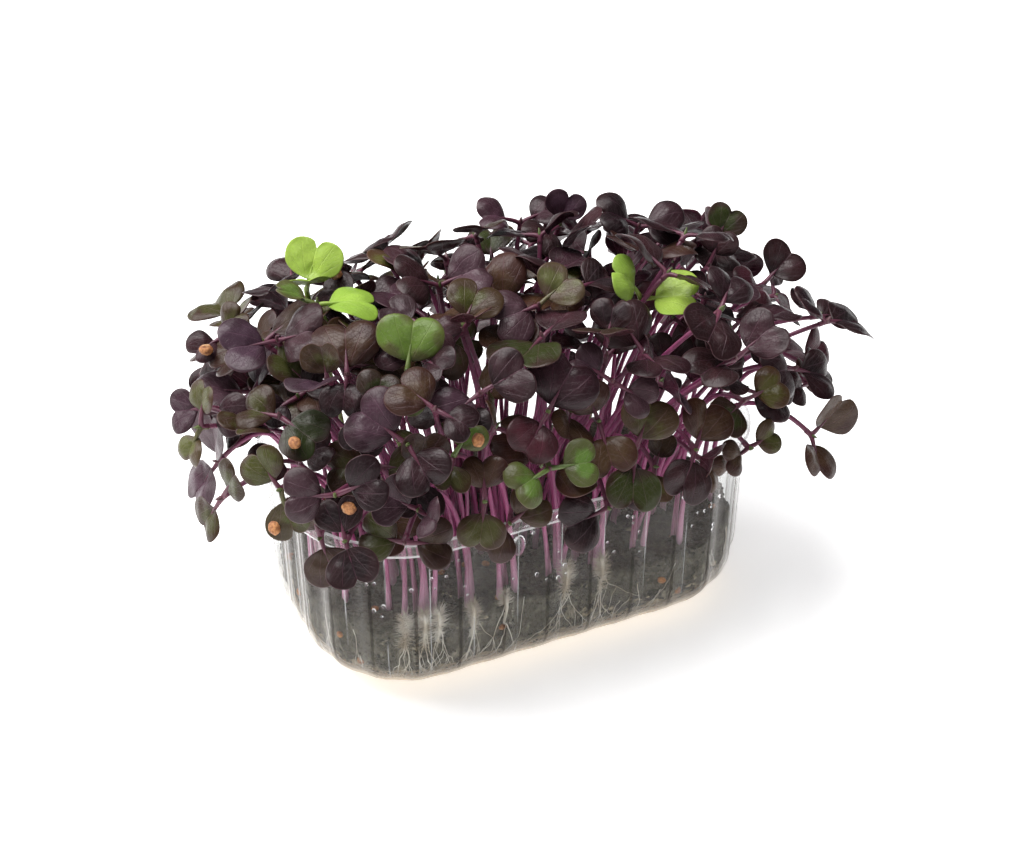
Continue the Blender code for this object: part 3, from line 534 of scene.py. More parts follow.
def leaf_finish():
    """Seed leaf: tint and blotches from the mesh, veins that fan out from the base, pale pink edge."""
    made, n = finish_tree("seed leaf")
    place = n.place()
    edge, side, chance = n.parts(n.attribute("leaf", "Vector"))
    u, v, _ = n.parts(n.node("ShaderNodeUVMap", {"uv_map": "veins"}).outputs[0])
    across = abs(u - 0.5)
    blotch = (n.noise(place, 150.0, 3.0) + (chance - 0.5) * 0.25 + (edge - 0.55) * 0.42).ramp(0.42, 0.64)
    colour = n.mix(blotch * 0.85, n.attribute("tint"), n.attribute("blush"))
    # Veins: a midrib, two pairs that fan out from the base, side veins off the midrib, then a fine net.
    wander = (n.noise(place, 260.0, 1.0) - 0.5) * 0.03
    midrib = (across + wander * 0.2).ramp(0.016, 0.004)
    lean = (across + wander) / (v + 0.10)
    inner_pair = abs((lean - 0.40) * (v + 0.10)).ramp(0.011, 0.002)
    fan = inner_pair.highest(abs((lean - 0.95) * (v + 0.10)).ramp(0.010, 0.002))
    pinnate = abs(((v - across * 0.75 + wander) * (math.pi / 0.105)).sine()).ramp(0.17, 0.03) * 0.55
    cells = n.cells(n.joined(u, v, chance * 9.0), 15.0, "DISTANCE_TO_EDGE")
    net = Value(n, cells.outputs[0]).ramp(0.045, 0.0) * 0.30
    inner = edge.ramp(0.97, 0.70)
    veins = midrib.highest(fan * inner).highest(pinnate * inner).highest(net * inner)
    top_vein = n.vector("ADD", n.scaled(colour, 1.15), (0.050, 0.022, 0.034))
    vein = n.mix(side.ramp(0.4, 0.6), (0.22, 0.07, 0.11), top_vein)
    veined = n.mix(veins * 0.55, colour, vein)
    speckle = n.noise(place, 1500.0, 2.0)
    grained = n.scaled(veined, 0.86 + speckle * 0.28)
    base = n.mix(edge.ramp(0.965, 0.998) * 0.22, grained, (0.26, 0.12, 0.14))
    relief = n.noise(place, 420.0, 2.0) * 0.5 - veins * 0.9 + n.noise(place, 1800.0, 1.0) * 0.15
    n.surface(n.principled({
        "Base Color": base,
        "Roughness": 0.28 + n.noise(place, 300.0, 2.0) * 0.18,
        "Normal": n.bump(relief, 0.45, 0.0006),
        "Specular IOR Level": 0.25,
        "Specular Tint": (1.0, 0.91, 0.91),
        "Coat Weight": 0.10,
        "Coat Roughness": 0.22,
    }))
    return made


def stem_finish():
    """Stem: tint from the mesh, with fine streaks along it."""
    made, n = finish_tree("stem")
    place = n.place()
    streak = n.noise(place, 900.0, 2.0, 0.6, (1.0, 1.0, 0.18))
    colour = n.scaled(n.attribute("tint"), 0.72 + streak * 0.56)
    n.surface(n.principled({
        "Base Color": colour,
        "Roughness": 0.34 + streak * 0.20,
        "Normal": n.bump(streak, 0.25, 0.0004),
        "Subsurface Weight": 0.12,
        "Subsurface Radius": (0.0010, 0.0004, 0.0005),
    }))
    return made


def medium_finish(settings):
    """Growing medium: grey-olive fibre, dark crumbly patches and a beige mat of roots at the foot."""
    made, n = finish_tree("growing medium")
    place = n.place()
    _, _, height = n.parts(place)
    fibre = n.noise(place, 1100.0, 4.0, 0.65, (1.0, 1.0, 0.6))
    grain = Value(n, n.cells(place, 900.0).outputs[0])
    patch = n.noise(place, 62.0, 4.0, 0.6)
    mottle = n.noise(place, 420.0, 3.0, 0.6)
    colour = n.mix(fibre.ramp(0.35, 0.68), [part * 0.55 for part in settings.fibre], settings.fibre)
    colour = n.scaled(colour, 0.50 + mottle.ramp(0.30, 0.70) * 0.70)
    granule = n.parts(n.cells(place, 620.0).outputs["Color"])[0]
    grains = n.node("ShaderNodeValToRGB", {"stops": CRUMB_SHADES}, {0: granule}).outputs[0]
    crumbly = (patch + (0.0165 - height) * 12.0).ramp(0.50, 0.60)
    colour = n.mix(crumbly, colour, n.mix(mottle.ramp(0.40, 0.58) * 0.9, grains, settings.crumb))
    fuzz = n.noise(place, 260.0, 3.0, 0.7, (1.0, 1.0, 0.4)).ramp(0.52, 0.70)
    colour = n.mix(fuzz * (0.021 - height).ramp(0.0, 0.006) * 0.55, colour, settings.fuzz)
    mat = (n.noise(place, 240.0, 3.0) * 0.010 + 0.0048 - height).ramp(0.0, 0.0035)
    colour = n.mix(mat * 0.9, colour, settings.mat)
    n.surface(n.principled({
        "Base Color": colour,
        "Roughness": 0.62 + fibre * 0.35,
        "Normal": n.bump(fibre * 0.7 + grain * 0.6, 0.9, 0.0010),
    }))
    return made


def crumb_finish():
    """Dark crumbs, peat brown to black."""
    made, n = finish_tree("crumb")
    place = n.place()
    shade = n.noise(place, 260.0, 2.0).ramp(0.35, 0.65)
    colour = n.mix(shade, (0.016, 0.013, 0.010), (0.085, 0.078, 0.058))
    grain = n.noise(place, 2500.0, 3.0)
    n.surface(n.principled({
        "Base Color": n.scaled(colour, 0.7 + grain * 0.6),
        "Roughness": 0.55 + grain * 0.4,
        "Normal": n.bump(grain, 0.6, 0.0004),
    }))
    return made


def root_finish():
    """Roots and root hairs: cream, browner in places."""
    made, n = finish_tree("root")
    place = n.place()
    shade = n.noise(place, 180.0, 3.0)
    colour = n.mix(shade.ramp(0.35, 0.70), (0.78, 0.74, 0.66), (0.48, 0.40, 0.30))
    n.surface(n.principled({
        "Base Color": colour,
        "Roughness": 0.45 + shade * 0.25,
        "Normal": n.bump(n.noise(place, 2200.0, 2.0), 0.3, 0.0003),
        "Subsurface Weight": 0.15,
        "Subsurface Radius": (0.0010, 0.0008, 0.0006),
    }))
    return made


def husk_finish():
    """Seed husk: tan orange, wrinkled, paler at its scar."""
    made, n = finish_tree("seed husk")
    place = n.place()
    wrinkle = n.noise(place, 900.0, 4.0, 0.6)
    patch = n.noise(place, 380.0, 2.0)
    colour = n.mix(wrinkle.ramp(0.35, 0.70), (0.24, 0.085, 0.030), (0.56, 0.25, 0.090))
    colour = n.mix(patch.ramp(0.60, 0.72) * 0.6, colour, (0.68, 0.44, 0.24))
    n.surface(n.principled({
        "Base Color": colour,
        "Roughness": 0.42 + wrinkle * 0.35,
        "Normal": n.bump(wrinkle, 0.7, 0.0006),
    }))
    return made


def plastic_finish(settings):
    """Clear pressed plastic: a thin haze, whitened by a painted reflection where it turns away, with painted
    shade and highlight lines along the flutes and painted highlights on the rim.
    """
    made, n = finish_tree("clear plastic")
    place = n.place()
    _, _, height = n.parts(place)
    out, turn, band = n.parts(n.attribute("flute", "Vector"))
    # The band is 0 on the wall and 1 on the rim, and 2 more on the inner skin, which has no lines.
    wall = band.ramp(0.6, 0.4)
    # Along each flute: a soft line of painted shade on its crest, and a thin painted highlight on the flank
    # that follows.
    phase = turn.maths("ARCTAN2", out)
    faded = n.noise(place, 90.0, 2.0, 0.5, (1.0, 1.0, 0.5)).ramp(0.25, 0.55) * 0.6 + 0.4
    # Painted shade along each flute's crest.
    shade_line = abs(phase).ramp(0.36, 0.10) * wall * faded
    broken = n.noise(place, 120.0, 2.0, 0.5, (1.0, 1.0, 0.4)).ramp(0.36, 0.58)
    highlight_line = abs(phase - HIGHLIGHT_LINE_ANGLE).ramp(0.13, 0.05) * wall * broken
    # Facing drives a painted reflection: the wall shows more of the whitish solid where it turns away.
    facing = Value(n, n.node("ShaderNodeLayerWeight", None, {"Blend": 0.5}).outputs["Facing"])
    mist = n.noise(place, 55.0, 4.0, 0.6).ramp(0.45, 0.75) * 0.04
    mist = mist + n.noise(place, 700.0, 3.0, 0.7).ramp(0.55, 0.80) * 0.02
    rim = band.ramp(0.4, 0.6) * band.ramp(1.6, 1.4)
    # Painted highlights along the top of the lip and along the rim's step.
    lip_highlight = height.ramp(TRAY_HEIGHT - 0.0011, TRAY_HEIGHT - 0.0003)
    step = abs(height - (TRAY_HEIGHT - RIM_BAND + 0.0006)).ramp(0.0010, 0.0003) * rim.ramp(0.2, 0.6)
    painted_highlights = highlight_line.highest(lip_highlight).highest(step)
    low = height.ramp(0.0105, 0.0035)
    # How much of the whitish solid shows: the haze, the mist and the milky foot, plus the painted reflection
    # where the wall turns away and the painted highlights.
    haze_and_painted_shine = settings.haze + mist + low * 0.66 + facing ** 4.2 * (0.68 - low * 0.55)
    haze_and_painted_shine = haze_and_painted_shine + highlight_line * 0.34 + lip_highlight * 0.30 + step * 0.30 + rim * 0.08
    # Where the painted highlights lie, the whitish solid turns near white.
    colour = n.mix(painted_highlights, n.mix(low * 0.97, settings.tint, settings.foot), (0.95, 0.95, 0.96))
    clear = n.node("ShaderNodeBsdfTransparent", None, {"Color": (0.97, 0.975, 0.975)})
    # The painted shade lines are made by mixing in a darker see-through tint.
    shade_line_see_through = n.node("ShaderNodeBsdfTransparent", None, {"Color": (0.34, 0.31, 0.28)})
    clear_with_shade_lines = n.node("ShaderNodeMixShader", None, {0: shade_line * 0.75, 1: clear.outputs[0], 2: shade_line_see_through.outputs[0]})
    solid = n.principled({
        "Base Color": colour,
        "Roughness": 0.10 + n.noise(place, 300.0, 2.0) * 0.12,
        "Normal": n.bump(n.noise(place, 160.0, 2.0), 0.15, 0.0008),
        "Specular IOR Level": 0.6,
        "Coat Weight": 1.0 - low * 0.9,
        "Coat Roughness": 0.05,
    })
    inputs = {0: haze_and_painted_shine.lowest(1.0), 1: clear_with_shade_lines.outputs[0], 2: solid.outputs[0]}
    n.surface(n.node("ShaderNodeMixShader", None, inputs))
    return made


def water_finish():
    """Water droplets."""
    made, n = finish_tree("water")
    ripple = n.noise(n.place(), 300.0, 1.0)
    n.surface(n.principled({
        "Base Color": n.mix(ripple, (0.96, 0.97, 0.98), (1.0, 1.0, 1.0)),
        "Roughness": 0.02 + ripple * 0.02,
        "Transmission Weight": 1.0,
        "IOR": 1.33,
    }))
    return made


def floor_finish(settings):
    """Plain pale floor."""
    made, n = finish_tree("floor")
    grain = n.noise(n.place(), 3.0, 2.0)
    colour = n.mix(grain, settings.floor, [part * 1.01 for part in settings.floor])
    n.surface(n.principled({
        "Base Color": colour,
        "Roughness": 0.9,
        "Specular IOR Level": 0.1,
        "Emission Color": colour,
        "Emission Strength": 0.60,
    }))
    return made


def finish(name, build, *settings):
    """The material of that name, built once."""
    return bpy.data.materials.get(name) or build(*settings)


# Meshes


class Shell:
    """Lofted tubes and leaves in one mesh, each vertex with its tint, blotch tint, leaf marks and UV."""

    def __init__(self):
        self.points, self.tints, self.blushes, self.marks, self.uvs = [], [], [], [], []
        self.quads, self.tris, self.quad_slots, self.tri_slots = [], [], [], []
        self.count = 0

    def loft(self, rings, slot, tints, blushes=None, marks=None, uvs=None):
        """Joins rings of as many points one to the next; the first and last are single points repeated."""
        rings = np.asarray(rings, dtype=float)
        steps, sides, _ = rings.shape
        keep = np.ones((steps, sides), dtype=bool)
        keep[0, 1:] = keep[-1, 1:] = False
        index = np.cumsum(keep.ravel()).reshape(steps, sides) - 1 + self.count
        index[0, :] = index[0, 0]
        index[-1, :] = index[-1, 0]
        mask = keep.ravel()

        def store(into, values, size):
            if values is None:
                values = np.zeros(size)
            values = np.broadcast_to(np.asarray(values, dtype=float), (steps, sides, size))
            into.append(values.reshape(-1, size)[mask])

        store(self.points, rings, 3)
        store(self.tints, tints, 3)
        store(self.blushes, tints if blushes is None else blushes, 3)
        store(self.marks, marks, 3)
        store(self.uvs, uvs, 2)
        self.count += int(mask.sum())
        here, after = index, np.roll(index, -1, axis=1)
        low, high = slice(1, steps - 2), slice(2, steps - 1)
        quads = np.stack([here[low], after[low], after[high], here[high]], axis=-1).reshape(-1, 4)
        first = np.stack([here[0], after[1], here[1]], axis=-1)
        last = np.stack([here[-1], here[-2], after[-2]], axis=-1)
        self.quads.append(quads)
        self.tris.append(np.concatenate([first, last]))
        self.quad_slots.append(np.full(len(quads), slot))
        self.tri_slots.append(np.full(len(first) + len(last), slot))

    def tube(self, path, radii, sides, slot, tints, flatten=None, marks=None):
        """A round tube with closed ends along a path, each point with its radius and tint."""
        path = np.asarray(path, dtype=float)
        steps = len(path)
        heading = np.gradient(path, axis=0)
        heading /= np.linalg.norm(heading, axis=1)[:, None] + 1e-12
        side = np.cross(heading[0], (0.31, 0.72, 0.62))
        rings = [np.repeat(path[:1], sides, axis=0)]
        turn = np.arange(sides) / sides * 2 * math.pi
        for k in range(steps):
            side = side - heading[k] * side.dot(heading[k])
            side /= np.linalg.norm(side) + 1e-12
            other = np.cross(heading[k], side)
            ring = np.cos(turn)[:, None] * side + np.sin(turn)[:, None] * other
            if flatten is not None:
                ring = ring - np.outer(ring @ flatten[0], flatten[0]) * flatten[1][k]
            rings.append(path[k] + ring * radii[k])
        rings.append(np.repeat(path[-1:], sides, axis=0))
        tints = np.asarray(tints, dtype=float)
        if tints.ndim == 2:
            tints = np.concatenate([tints[:1], tints, tints[-1:]])[:, None, :]
        self.loft(rings, slot, tints, marks=marks)

    def object(self, name, materials):
        """The gathered shapes as one object at the origin."""
        mesh = bpy.data.meshes.new(name)
        quads, tris = np.concatenate(self.quads), np.concatenate(self.tris)
        mesh.from_pydata(np.concatenate(self.points).tolist(), [], quads.tolist() + tris.tolist())
        slots = np.concatenate(self.quad_slots + self.tri_slots).astype(np.int32)
        mesh.polygons.foreach_set("material_index", slots)
        mesh.polygons.foreach_set("use_smooth", np.ones(len(slots), dtype=bool))
        for title, values in (("tint", self.tints), ("blush", self.blushes)):
            layer = mesh.color_attributes.new(title, "FLOAT_COLOR", "POINT")
            values = np.concatenate(values)
            values = np.concatenate([values, np.ones((len(values), 1))], axis=1)
            layer.data.foreach_set("color", values.ravel().astype(np.float32))
        layer = mesh.attributes.new("leaf", "FLOAT_VECTOR", "POINT")
        layer.data.foreach_set("vector", np.concatenate(self.marks).ravel().astype(np.float32))
        uv = mesh.uv_layers.new(name="veins")
        corners = np.empty(len(mesh.loops), dtype=np.int32)
        mesh.loops.foreach_get("vertex_index", corners)
        uv.data.foreach_set("uv", np.concatenate(self.uvs)[corners].ravel().astype(np.float32))
        for made in materials:
            mesh.materials.append(made)
        mesh.validate()
        outwards(mesh)
        return shown(name, mesh)


def shown(name, mesh):
    made = bpy.data.objects.new(name, mesh)
    bpy.context.scene.collection.objects.link(made)
    return made


def outwards(mesh):
    """Turns every face outwards."""
    bm = bmesh.new()
    bm.from_mesh(mesh)
    bmesh.ops.recalc_face_normals(bm, faces=bm.faces)
    bm.to_mesh(mesh)
    bm.free()


def smooth_path(points, count):
    """That many points along a smooth curve through the given ones."""
    points = np.asarray(points, dtype=float)
    padded = np.concatenate([2 * points[:1] - points[1:2], points, 2 * points[-1:] - points[-2:-1]])
    made = []
    for at in np.linspace(0, len(points) - 1, count):
        k = min(int(at), len(points) - 2)
        t = at - k
        a, b, c, d = padded[k:k + 4]
        square, cube = 2 * a - 5 * b + 4 * c - d, 3 * b - a - 3 * c + d
        made.append(0.5 * (2 * b + (c - a) * t + square * t**2 + cube * t**3))
    return np.array(made)


# The tray's outline and wall, as in the model


def rim_outline(points=FLUTES * POINTS_PER_FLUTE):
    """Points evenly spaced round the rim's edge, a rounded rectangle, each with its outward direction."""
    half_x, half_y, corner = TRAY_LENGTH / 2, TRAY_WIDTH / 2, TRAY_CORNER
    straight_x = 2 * (half_x - corner)
    straight_y = 2 * (half_y - corner)
    arc = math.pi / 2 * corner
    runs = (straight_y, arc, straight_x, arc, straight_y, arc, straight_x, arc)
    total = sum(runs)
    centres = ((1, 1), (-1, 1), (-1, -1), (1, -1))
    made = []
    for i in range(points):
        along = (i / points * total + straight_y / 2) % total
        run = 0
        while along > runs[run]:
            along -= runs[run]
            run += 1
        # Each quarter is a straight that leads to a rounded corner.
        quarter = run // 2
        cx = centres[quarter][0] * (half_x - corner)
        cy = centres[quarter][1] * (half_y - corner)
        turn = quarter * math.pi / 2
        before = 0.0
        if run % 2:
            turn += along / corner
        else:
            before = runs[run] - along
        nx, ny = math.cos(turn), math.sin(turn)
        made.append((cx + corner * nx + before * ny, cy + corner * ny - before * nx, nx, ny))
    return made


def wall_inset(z):
    """How far the tray's outer wall lies inside the rim's edge at height z, and the share of flute there."""
    wall_top = TRAY_HEIGHT - RIM_BAND
    taper = RIM_STEP + TRAY_TAPER * (wall_top - z) / wall_top
    if z >= BASE_FILLET:
        return taper, 1.0
    drop = BASE_FILLET - z
    return taper + BASE_FILLET - math.sqrt(max(BASE_FILLET**2 - drop**2, 0.0)), z / BASE_FILLET


def soil_height(x, y):
    """The medium's top, slightly uneven."""
    wave = math.sin(x * 230 + 1.3) * math.cos(y * 260) + 0.5 * math.sin(y * 410 + x * 120)
    return SOIL_TOP + SOIL_BUMP * wave


class WallMap:
    """Places on the inside of the tray's wall, by the distance round it from the middle of the right end."""

    def __init__(self):
        self.points = 720
        self.outline = np.array(rim_outline(self.points))
        straights = 2 * (TRAY_LENGTH + TRAY_WIDTH - 4 * TRAY_CORNER)
        self.length = straights + 2 * math.pi * TRAY_CORNER

    def place(self, around, z, depth):
        """The point at that distance round, that height, and that depth inside the wall's outer skin."""
        at = (around / self.length) % 1.0 * self.points
        k, t = int(at) % self.points, at - int(at)
        here, after = self.outline[k], self.outline[(k + 1) % self.points]
        x, y, nx, ny = here * (1 - t) + after * t
        inset, share = wall_inset(z)
        wave = FLUTE_DEPTH * share * math.cos(2 * math.pi * FLUTES * at / self.points)
        slope = min(1.0, max(0.0, z / BASE_FILLET))
        tilt = math.acos(1 - slope) if slope < 1 else math.pi / 2
        move = wave - inset - depth * math.sin(tilt)
        return Vector((x + move * nx, y + move * ny, z + depth * math.cos(tilt)))

    def around_at(self, x):
        """The distance round at which the front wall is at that x."""
        front = self.outline[:, 1] < 0
        k = int(np.argmin(np.where(front, np.abs(self.outline[:, 0] - x), 9.0)))
        return k / self.points * self.length


# The seedlings' layout, as in the model


def facing(bearing, rise):
    """The direction at that bearing from the front and that rise above level, in degrees."""
    turn, up = math.radians(bearing), math.radians(rise)
    return Vector((math.sin(turn) * math.cos(up), -math.cos(turn) * math.cos(up), math.sin(up)))


class Blade:
    """One seed leaf: its width, petiole length, lift and turn about the stem, fold and droop."""

    def __init__(self, rng, width, lift):
        self.width = width
        self.petiole = rng.uniform(*PETIOLE)
        self.lift = lift
        self.turn = math.radians(rng.uniform(-16, 16))
        self.fold = rng.uniform(-0.05, 0.32)
        self.droop = rng.uniform(0.05, 0.42)

    def height(self, across, along):
        """How far the leaf stands off its own flat plane there. Across and along are shares of its width."""
        return self.width * (self.fold * abs(across) - self.droop * along * along)


class Seedling:
    """A stem that rises from its root and a pair of seed leaves on its head."""

    def __init__(self, rng, root, head, normal, axis_turn, widths, lifts):
        self.root = Vector(root)
        self.head = Vector(head)
        self.normal = Vector(normal).normalized()
        side = Vector((-self.normal.y, self.normal.x, 0)).normalized()
        self.axis = (side * math.cos(axis_turn) + self.normal.cross(side) * math.sin(axis_turn)).normalized()
        self.across = self.normal.cross(self.axis)
        self.blades = [Blade(rng, width, lift) for width, lift in zip(widths, lifts)]
        self.bend = self.stem_controls()

    def stem_controls(self):
        """Bezier points: up from the root, clear of the rim, then out to the head from behind its leaves."""
        inner_x = TRAY_LENGTH / 2 - 0.0085
        inner_y = TRAY_WIDTH / 2 - 0.0085
        out = Vector((self.head.x - self.root.x, self.head.y - self.root.y, 0))
        mid = Vector((self.root.x + out.x * 0.25, self.root.y + out.y * 0.25, 0))
        reach = (abs(mid.x / inner_x) ** 3.2 + abs(mid.y / inner_y) ** 3.2) ** (1 / 3.2)
        if reach > 1:
            mid = mid / reach
        foot = Vector((self.root.x, self.root.y, STEM_FOOT))
        rise = max(self.head.z, TRAY_HEIGHT + 0.012) - foot.z
        behind = self.head - self.normal * 0.30 * rise
        span = (abs(self.head.x / inner_x) ** 3.2 + abs(self.head.y / inner_y) ** 3.2) ** (1 / 3.2)
        overhang = min(1.0, max(0.0, (span - 1.0) / 0.25))
        low = Vector((mid.x, mid.y, max(foot.z + 0.55 * rise, overhang * (TRAY_HEIGHT + 0.014))))
        high = Vector((mid.x * 0.40 + behind.x * 0.60, mid.y * 0.40 + behind.y * 0.60, behind.z))
        high.z = max(high.z, overhang * (TRAY_HEIGHT + 0.019))
        return foot, low, high, self.head

    def stem_point(self, t):
        a, b, c, d = self.bend
        s = 1 - t
        return a * s**3 + b * 3 * s * s * t + c * 3 * s * t * t + d * t**3

    def stem_heading(self, t):
        return (self.stem_point(min(t + 0.01, 1.0)) - self.stem_point(max(t - 0.01, 0.0))).normalized()

    def blade_frame(self, which):
        """The directions along, across and square to one leaf."""
        blade = self.blades[which]
        sign = 1 if which == 0 else -1
        flat = self.axis * sign * math.cos(blade.turn) + self.across * math.sin(blade.turn)
        along = flat * math.cos(blade.lift) + self.normal * math.sin(blade.lift)
        across = self.normal.cross(flat)
        return along, across, along.cross(across)

    def blade_outline(self, which, spread=0.0):
        """The leaf's outline from one side of its base to the other, as points on its middle surface."""
        blade = self.blades[which]
        along, across, square = self.blade_frame(which)
        size = blade.width + spread
        half = list(HALF_BLADE)
        shape = half + [(0.0, NOTCH)] + [(-u, v) for u, v in half[::-1]]
        made = []
        for u, v in shape:
            point = self.head + across * u * size + along * (blade.petiole + v * size)
            made.append(point + square * blade.height(u, v))
        return made, square


def seedling_mesh(bm, plant, pad=0.0):
    """Adds one seedling as one body: a four-sided stem whose top edge is the waist between the leaves."""
    half = STEM_WIDTH / 2 + pad
    thick = BLADE_THICKNESS / 2 + pad
    waist = [(1, 1), (-1, 1), (-1, -1), (1, -1)]
    corners = [plant.head + plant.axis * s * half + plant.across * c * half for s, c in waist]
    top_waist = [bm.verts.new(p + plant.normal * thick) for p in corners]
    low_waist = [bm.verts.new(p - plant.normal * thick) for p in corners]
    faces = [top_waist]
    # Leaf 0 grows from the waist's edge 3-0 and leaf 1 from its edge 1-2.
    for which, (start, end) in enumerate(((3, 0), (1, 2))):
        outline, square = plant.blade_outline(which, 2 * pad)
        top = [bm.verts.new(p + square * thick) for p in outline]
        low = [bm.verts.new(p - square * thick) for p in outline]
        if (outline[0] - corners[start]).length > (outline[0] - corners[end]).length:
            top, low = top[::-1], low[::-1]
        for layer, ends, flip in ((top, top_waist, False), (low, low_waist, True)):
            a, b = ends[start], ends[end]
            last = len(layer) - 1
            notch = len(layer) // 2
            # Split alike on both faces: the wedge at the base, then each lobe as a fan.
            cells = [(a, layer[0], layer[last]), (a, layer[last], b), (layer[0], layer[notch], layer[last])]
            cells += [(layer[0], layer[i], layer[i + 1]) for i in range(1, notch)]
            cells += [(layer[last], layer[i], layer[i + 1]) for i in range(notch, last - 1)]
            for cell in cells:
                faces.append(cell[::-1] if flip else cell)
        ring_top = [top_waist[start], *top, top_waist[end]]
        ring_low = [low_waist[start], *low, low_waist[end]]
        for i in range(len(ring_top) - 1):
            faces.append((ring_top[i], ring_low[i], ring_low[i + 1], ring_top[i + 1]))
    for start, end in ((0, 1), (2, 3)):
        faces.append((top_waist[start], low_waist[start], low_waist[end], top_waist[end]))
    previous = low_waist
    side = plant.axis
    for step in range(1, STEM_STEPS + 1):
        t = 1 - step / STEM_STEPS
        centre, heading = plant.stem_point(t), plant.stem_heading(t)
        side = (side - heading * side.dot(heading)).normalized()
        other = heading.cross(side)
        ring = [bm.verts.new(centre + side * s * half + other * c * half) for s, c in waist]
        for i in range(4):
            nxt = (i + 1) % 4
            faces.append((previous[i], ring[i], ring[nxt], previous[nxt]))
        previous = ring
    ring = [bm.verts.new((vert.co.x, vert.co.y, plant.root.z)) for vert in previous]
    for i in range(4):
        nxt = (i + 1) % 4
        faces.append((previous[i], ring[i], ring[nxt], previous[nxt]))
    faces.append(ring[::-1])
    made = [bm.faces.new(face) for face in faces]
    bmesh.ops.triangulate(bm, faces=made)


def husk_mesh(bm, place, turn):
    """Adds one seed husk, a small egg."""
    made = bmesh.ops.create_uvsphere(bm, u_segments=8, v_segments=6, radius=1.0)
    frame = Matrix.Translation(place) @ turn @ Matrix.Diagonal((*HUSK_RADII, 1.0))
    bmesh.ops.transform(bm, matrix=frame, verts=made["verts"])


def tree_of(plant, pad=0.0):
    bm = bmesh.new()
    seedling_mesh(bm, plant, pad)
    tree = BVHTree.FromBMesh(bm)
    bm.free()
    return tree


def crosses_itself(plant):
    """True if the stem runs through its own leaves or too near them, or a leaf through the other."""
    down = (plant.stem_point(1 - 1 / STEM_STEPS) - plant.head).normalized()
    alongs = [plant.blade_frame(which)[0] for which in (0, 1)]
    if down.dot(plant.normal) > -0.30 or max(down.dot(along) for along in alongs) > 0.62:
        return True
    if alongs[0].dot(alongs[1]) > 0.45:
        return True
    for pad in (CLEARANCE / 2, 0.0):
        bm = bmesh.new()
        seedling_mesh(bm, plant, pad)
        bm.faces.ensure_lookup_table()
        tree = BVHTree.FromBMesh(bm)
        crossed = any(faces_cross(bm.faces[a], bm.faces[b]) for a, b in tree.overlap(tree))
        bm.free()
        if crossed:
            return True
    return False


def faces_cross(one, two):
    """True if two triangles that overlap do more than meet at the corners they share."""
    shared = set(one.verts) & set(two.verts)
    if len(shared) != 1:
        return not shared
    for edged, faced in ((one, two), (two, one)):
        a, b = [vert.co for vert in edged.verts if vert not in shared]
        hit = intersect_ray_tri(*[vert.co for vert in faced.verts], b - a, a, True)
        if hit and (hit - a).dot(b - a) <= (b - a).length_squared:
            return True
    return False


def lobe_middles(plant):
    """The middles of the four lobes of a seedling's leaves."""
    outlines = [plant.blade_outline(which)[0] for which in (0, 1)]
    return [sum(lobe, Vector()) / 5 for outline in outlines for lobe in (outline[:5], outline[4:])]


def tray_tree():
    """The tray's wall as a plain band, against which stems and leaves are tested."""
    bm = bmesh.new()
    margin = CLEARANCE + FLUTE_DEPTH
    inside = RIM_STEP + TRAY_TAPER + WALL + margin
    top = TRAY_HEIGHT + margin
    loops = []
    for z, inset in ((0.0, -margin), (top, -margin), (top, inside), (0.020, inside)):
        outline = [(x - inset * nx, y - inset * ny) for x, y, nx, ny in rim_outline()]
        loops.append([bm.verts.new((x, y, z)) for x, y in outline])
    for low, high in zip(loops, loops[1:]):
        for i, vert in enumerate(low):
            nxt = (i + 1) % len(low)
            bm.faces.new((vert, low[nxt], high[nxt], high[i]))
    tree = BVHTree.FromBMesh(bm)
    bm.free()
    return tree


def canopy_head(root, rng, depth, sink):
    """Where a head goes for its root: roots at the wall go to the mound's foot, the rest above."""
    reach_x = TRAY_LENGTH / 2 - 0.009
    reach_y = TRAY_WIDTH / 2 - 0.009
    rho = ((abs(root[0]) / reach_x) ** 2.6 + (abs(root[1]) / reach_y) ** 2.6) ** (1 / 2.6)
    rho = min(rho, 1.0)
    endward = root[0] ** 2 / max(root[0] ** 2 + root[1] ** 2, 1e-9)
    lowest = LOWEST_AT_FRONT + (LOWEST_AT_ENDS - LOWEST_AT_FRONT) * endward
    cosine = 1 - (1 - math.cos(lowest)) * rho * rho
    angle = math.acos(max(-1.0, min(1.0, cosine))) + sink
    around = math.atan2(root[1] / reach_y, root[0] / reach_x) + rng.uniform(-0.16, 0.16)
    squeeze = CANOPY_SQUARENESS
    out = abs(math.sin(angle)) ** squeeze
    up = math.copysign(abs(math.cos(angle)) ** squeeze, math.cos(angle))
    cx = math.copysign(abs(math.cos(around)) ** squeeze, math.cos(around))
    cy = math.copysign(abs(math.sin(around)) ** squeeze, math.sin(around))
    half_x = CANOPY_RIGHT if cx > 0 else CANOPY_LEFT
    half_y = CANOPY_BACK if cy > 0 else CANOPY_FRONT
    side = Vector((out * cx * half_x, out * cy * half_y, 0)) * depth
    droop = 0.17 * max(0.0, side.x - 0.030)
    place = CANOPY_CENTRE + side + Vector((0, 0, up * CANOPY_RISE * depth - droop))
    normal = Vector((side.x / half_x**2, side.y / half_y**2, up * depth / CANOPY_RISE + 0.35 / CANOPY_RISE))
    return place, normal.normalized()


def within_limits(plant):
    """True if the leaves stay near the mound: none reaches too far out, hangs too low or juts out high up."""
    points = plant.blade_outline(0)[0] + plant.blade_outline(1)[0]
    return all(
        LEAF_LEFT < p.x < LEAF_RIGHT - 0.5 * max(0.0, p.z - 0.055)
        and abs(p.y) < LEAF_SIDE
        and p.z > LEAF_LOWEST + 0.6 * max(0.0, p.x - 0.083)
        for p in points
    )


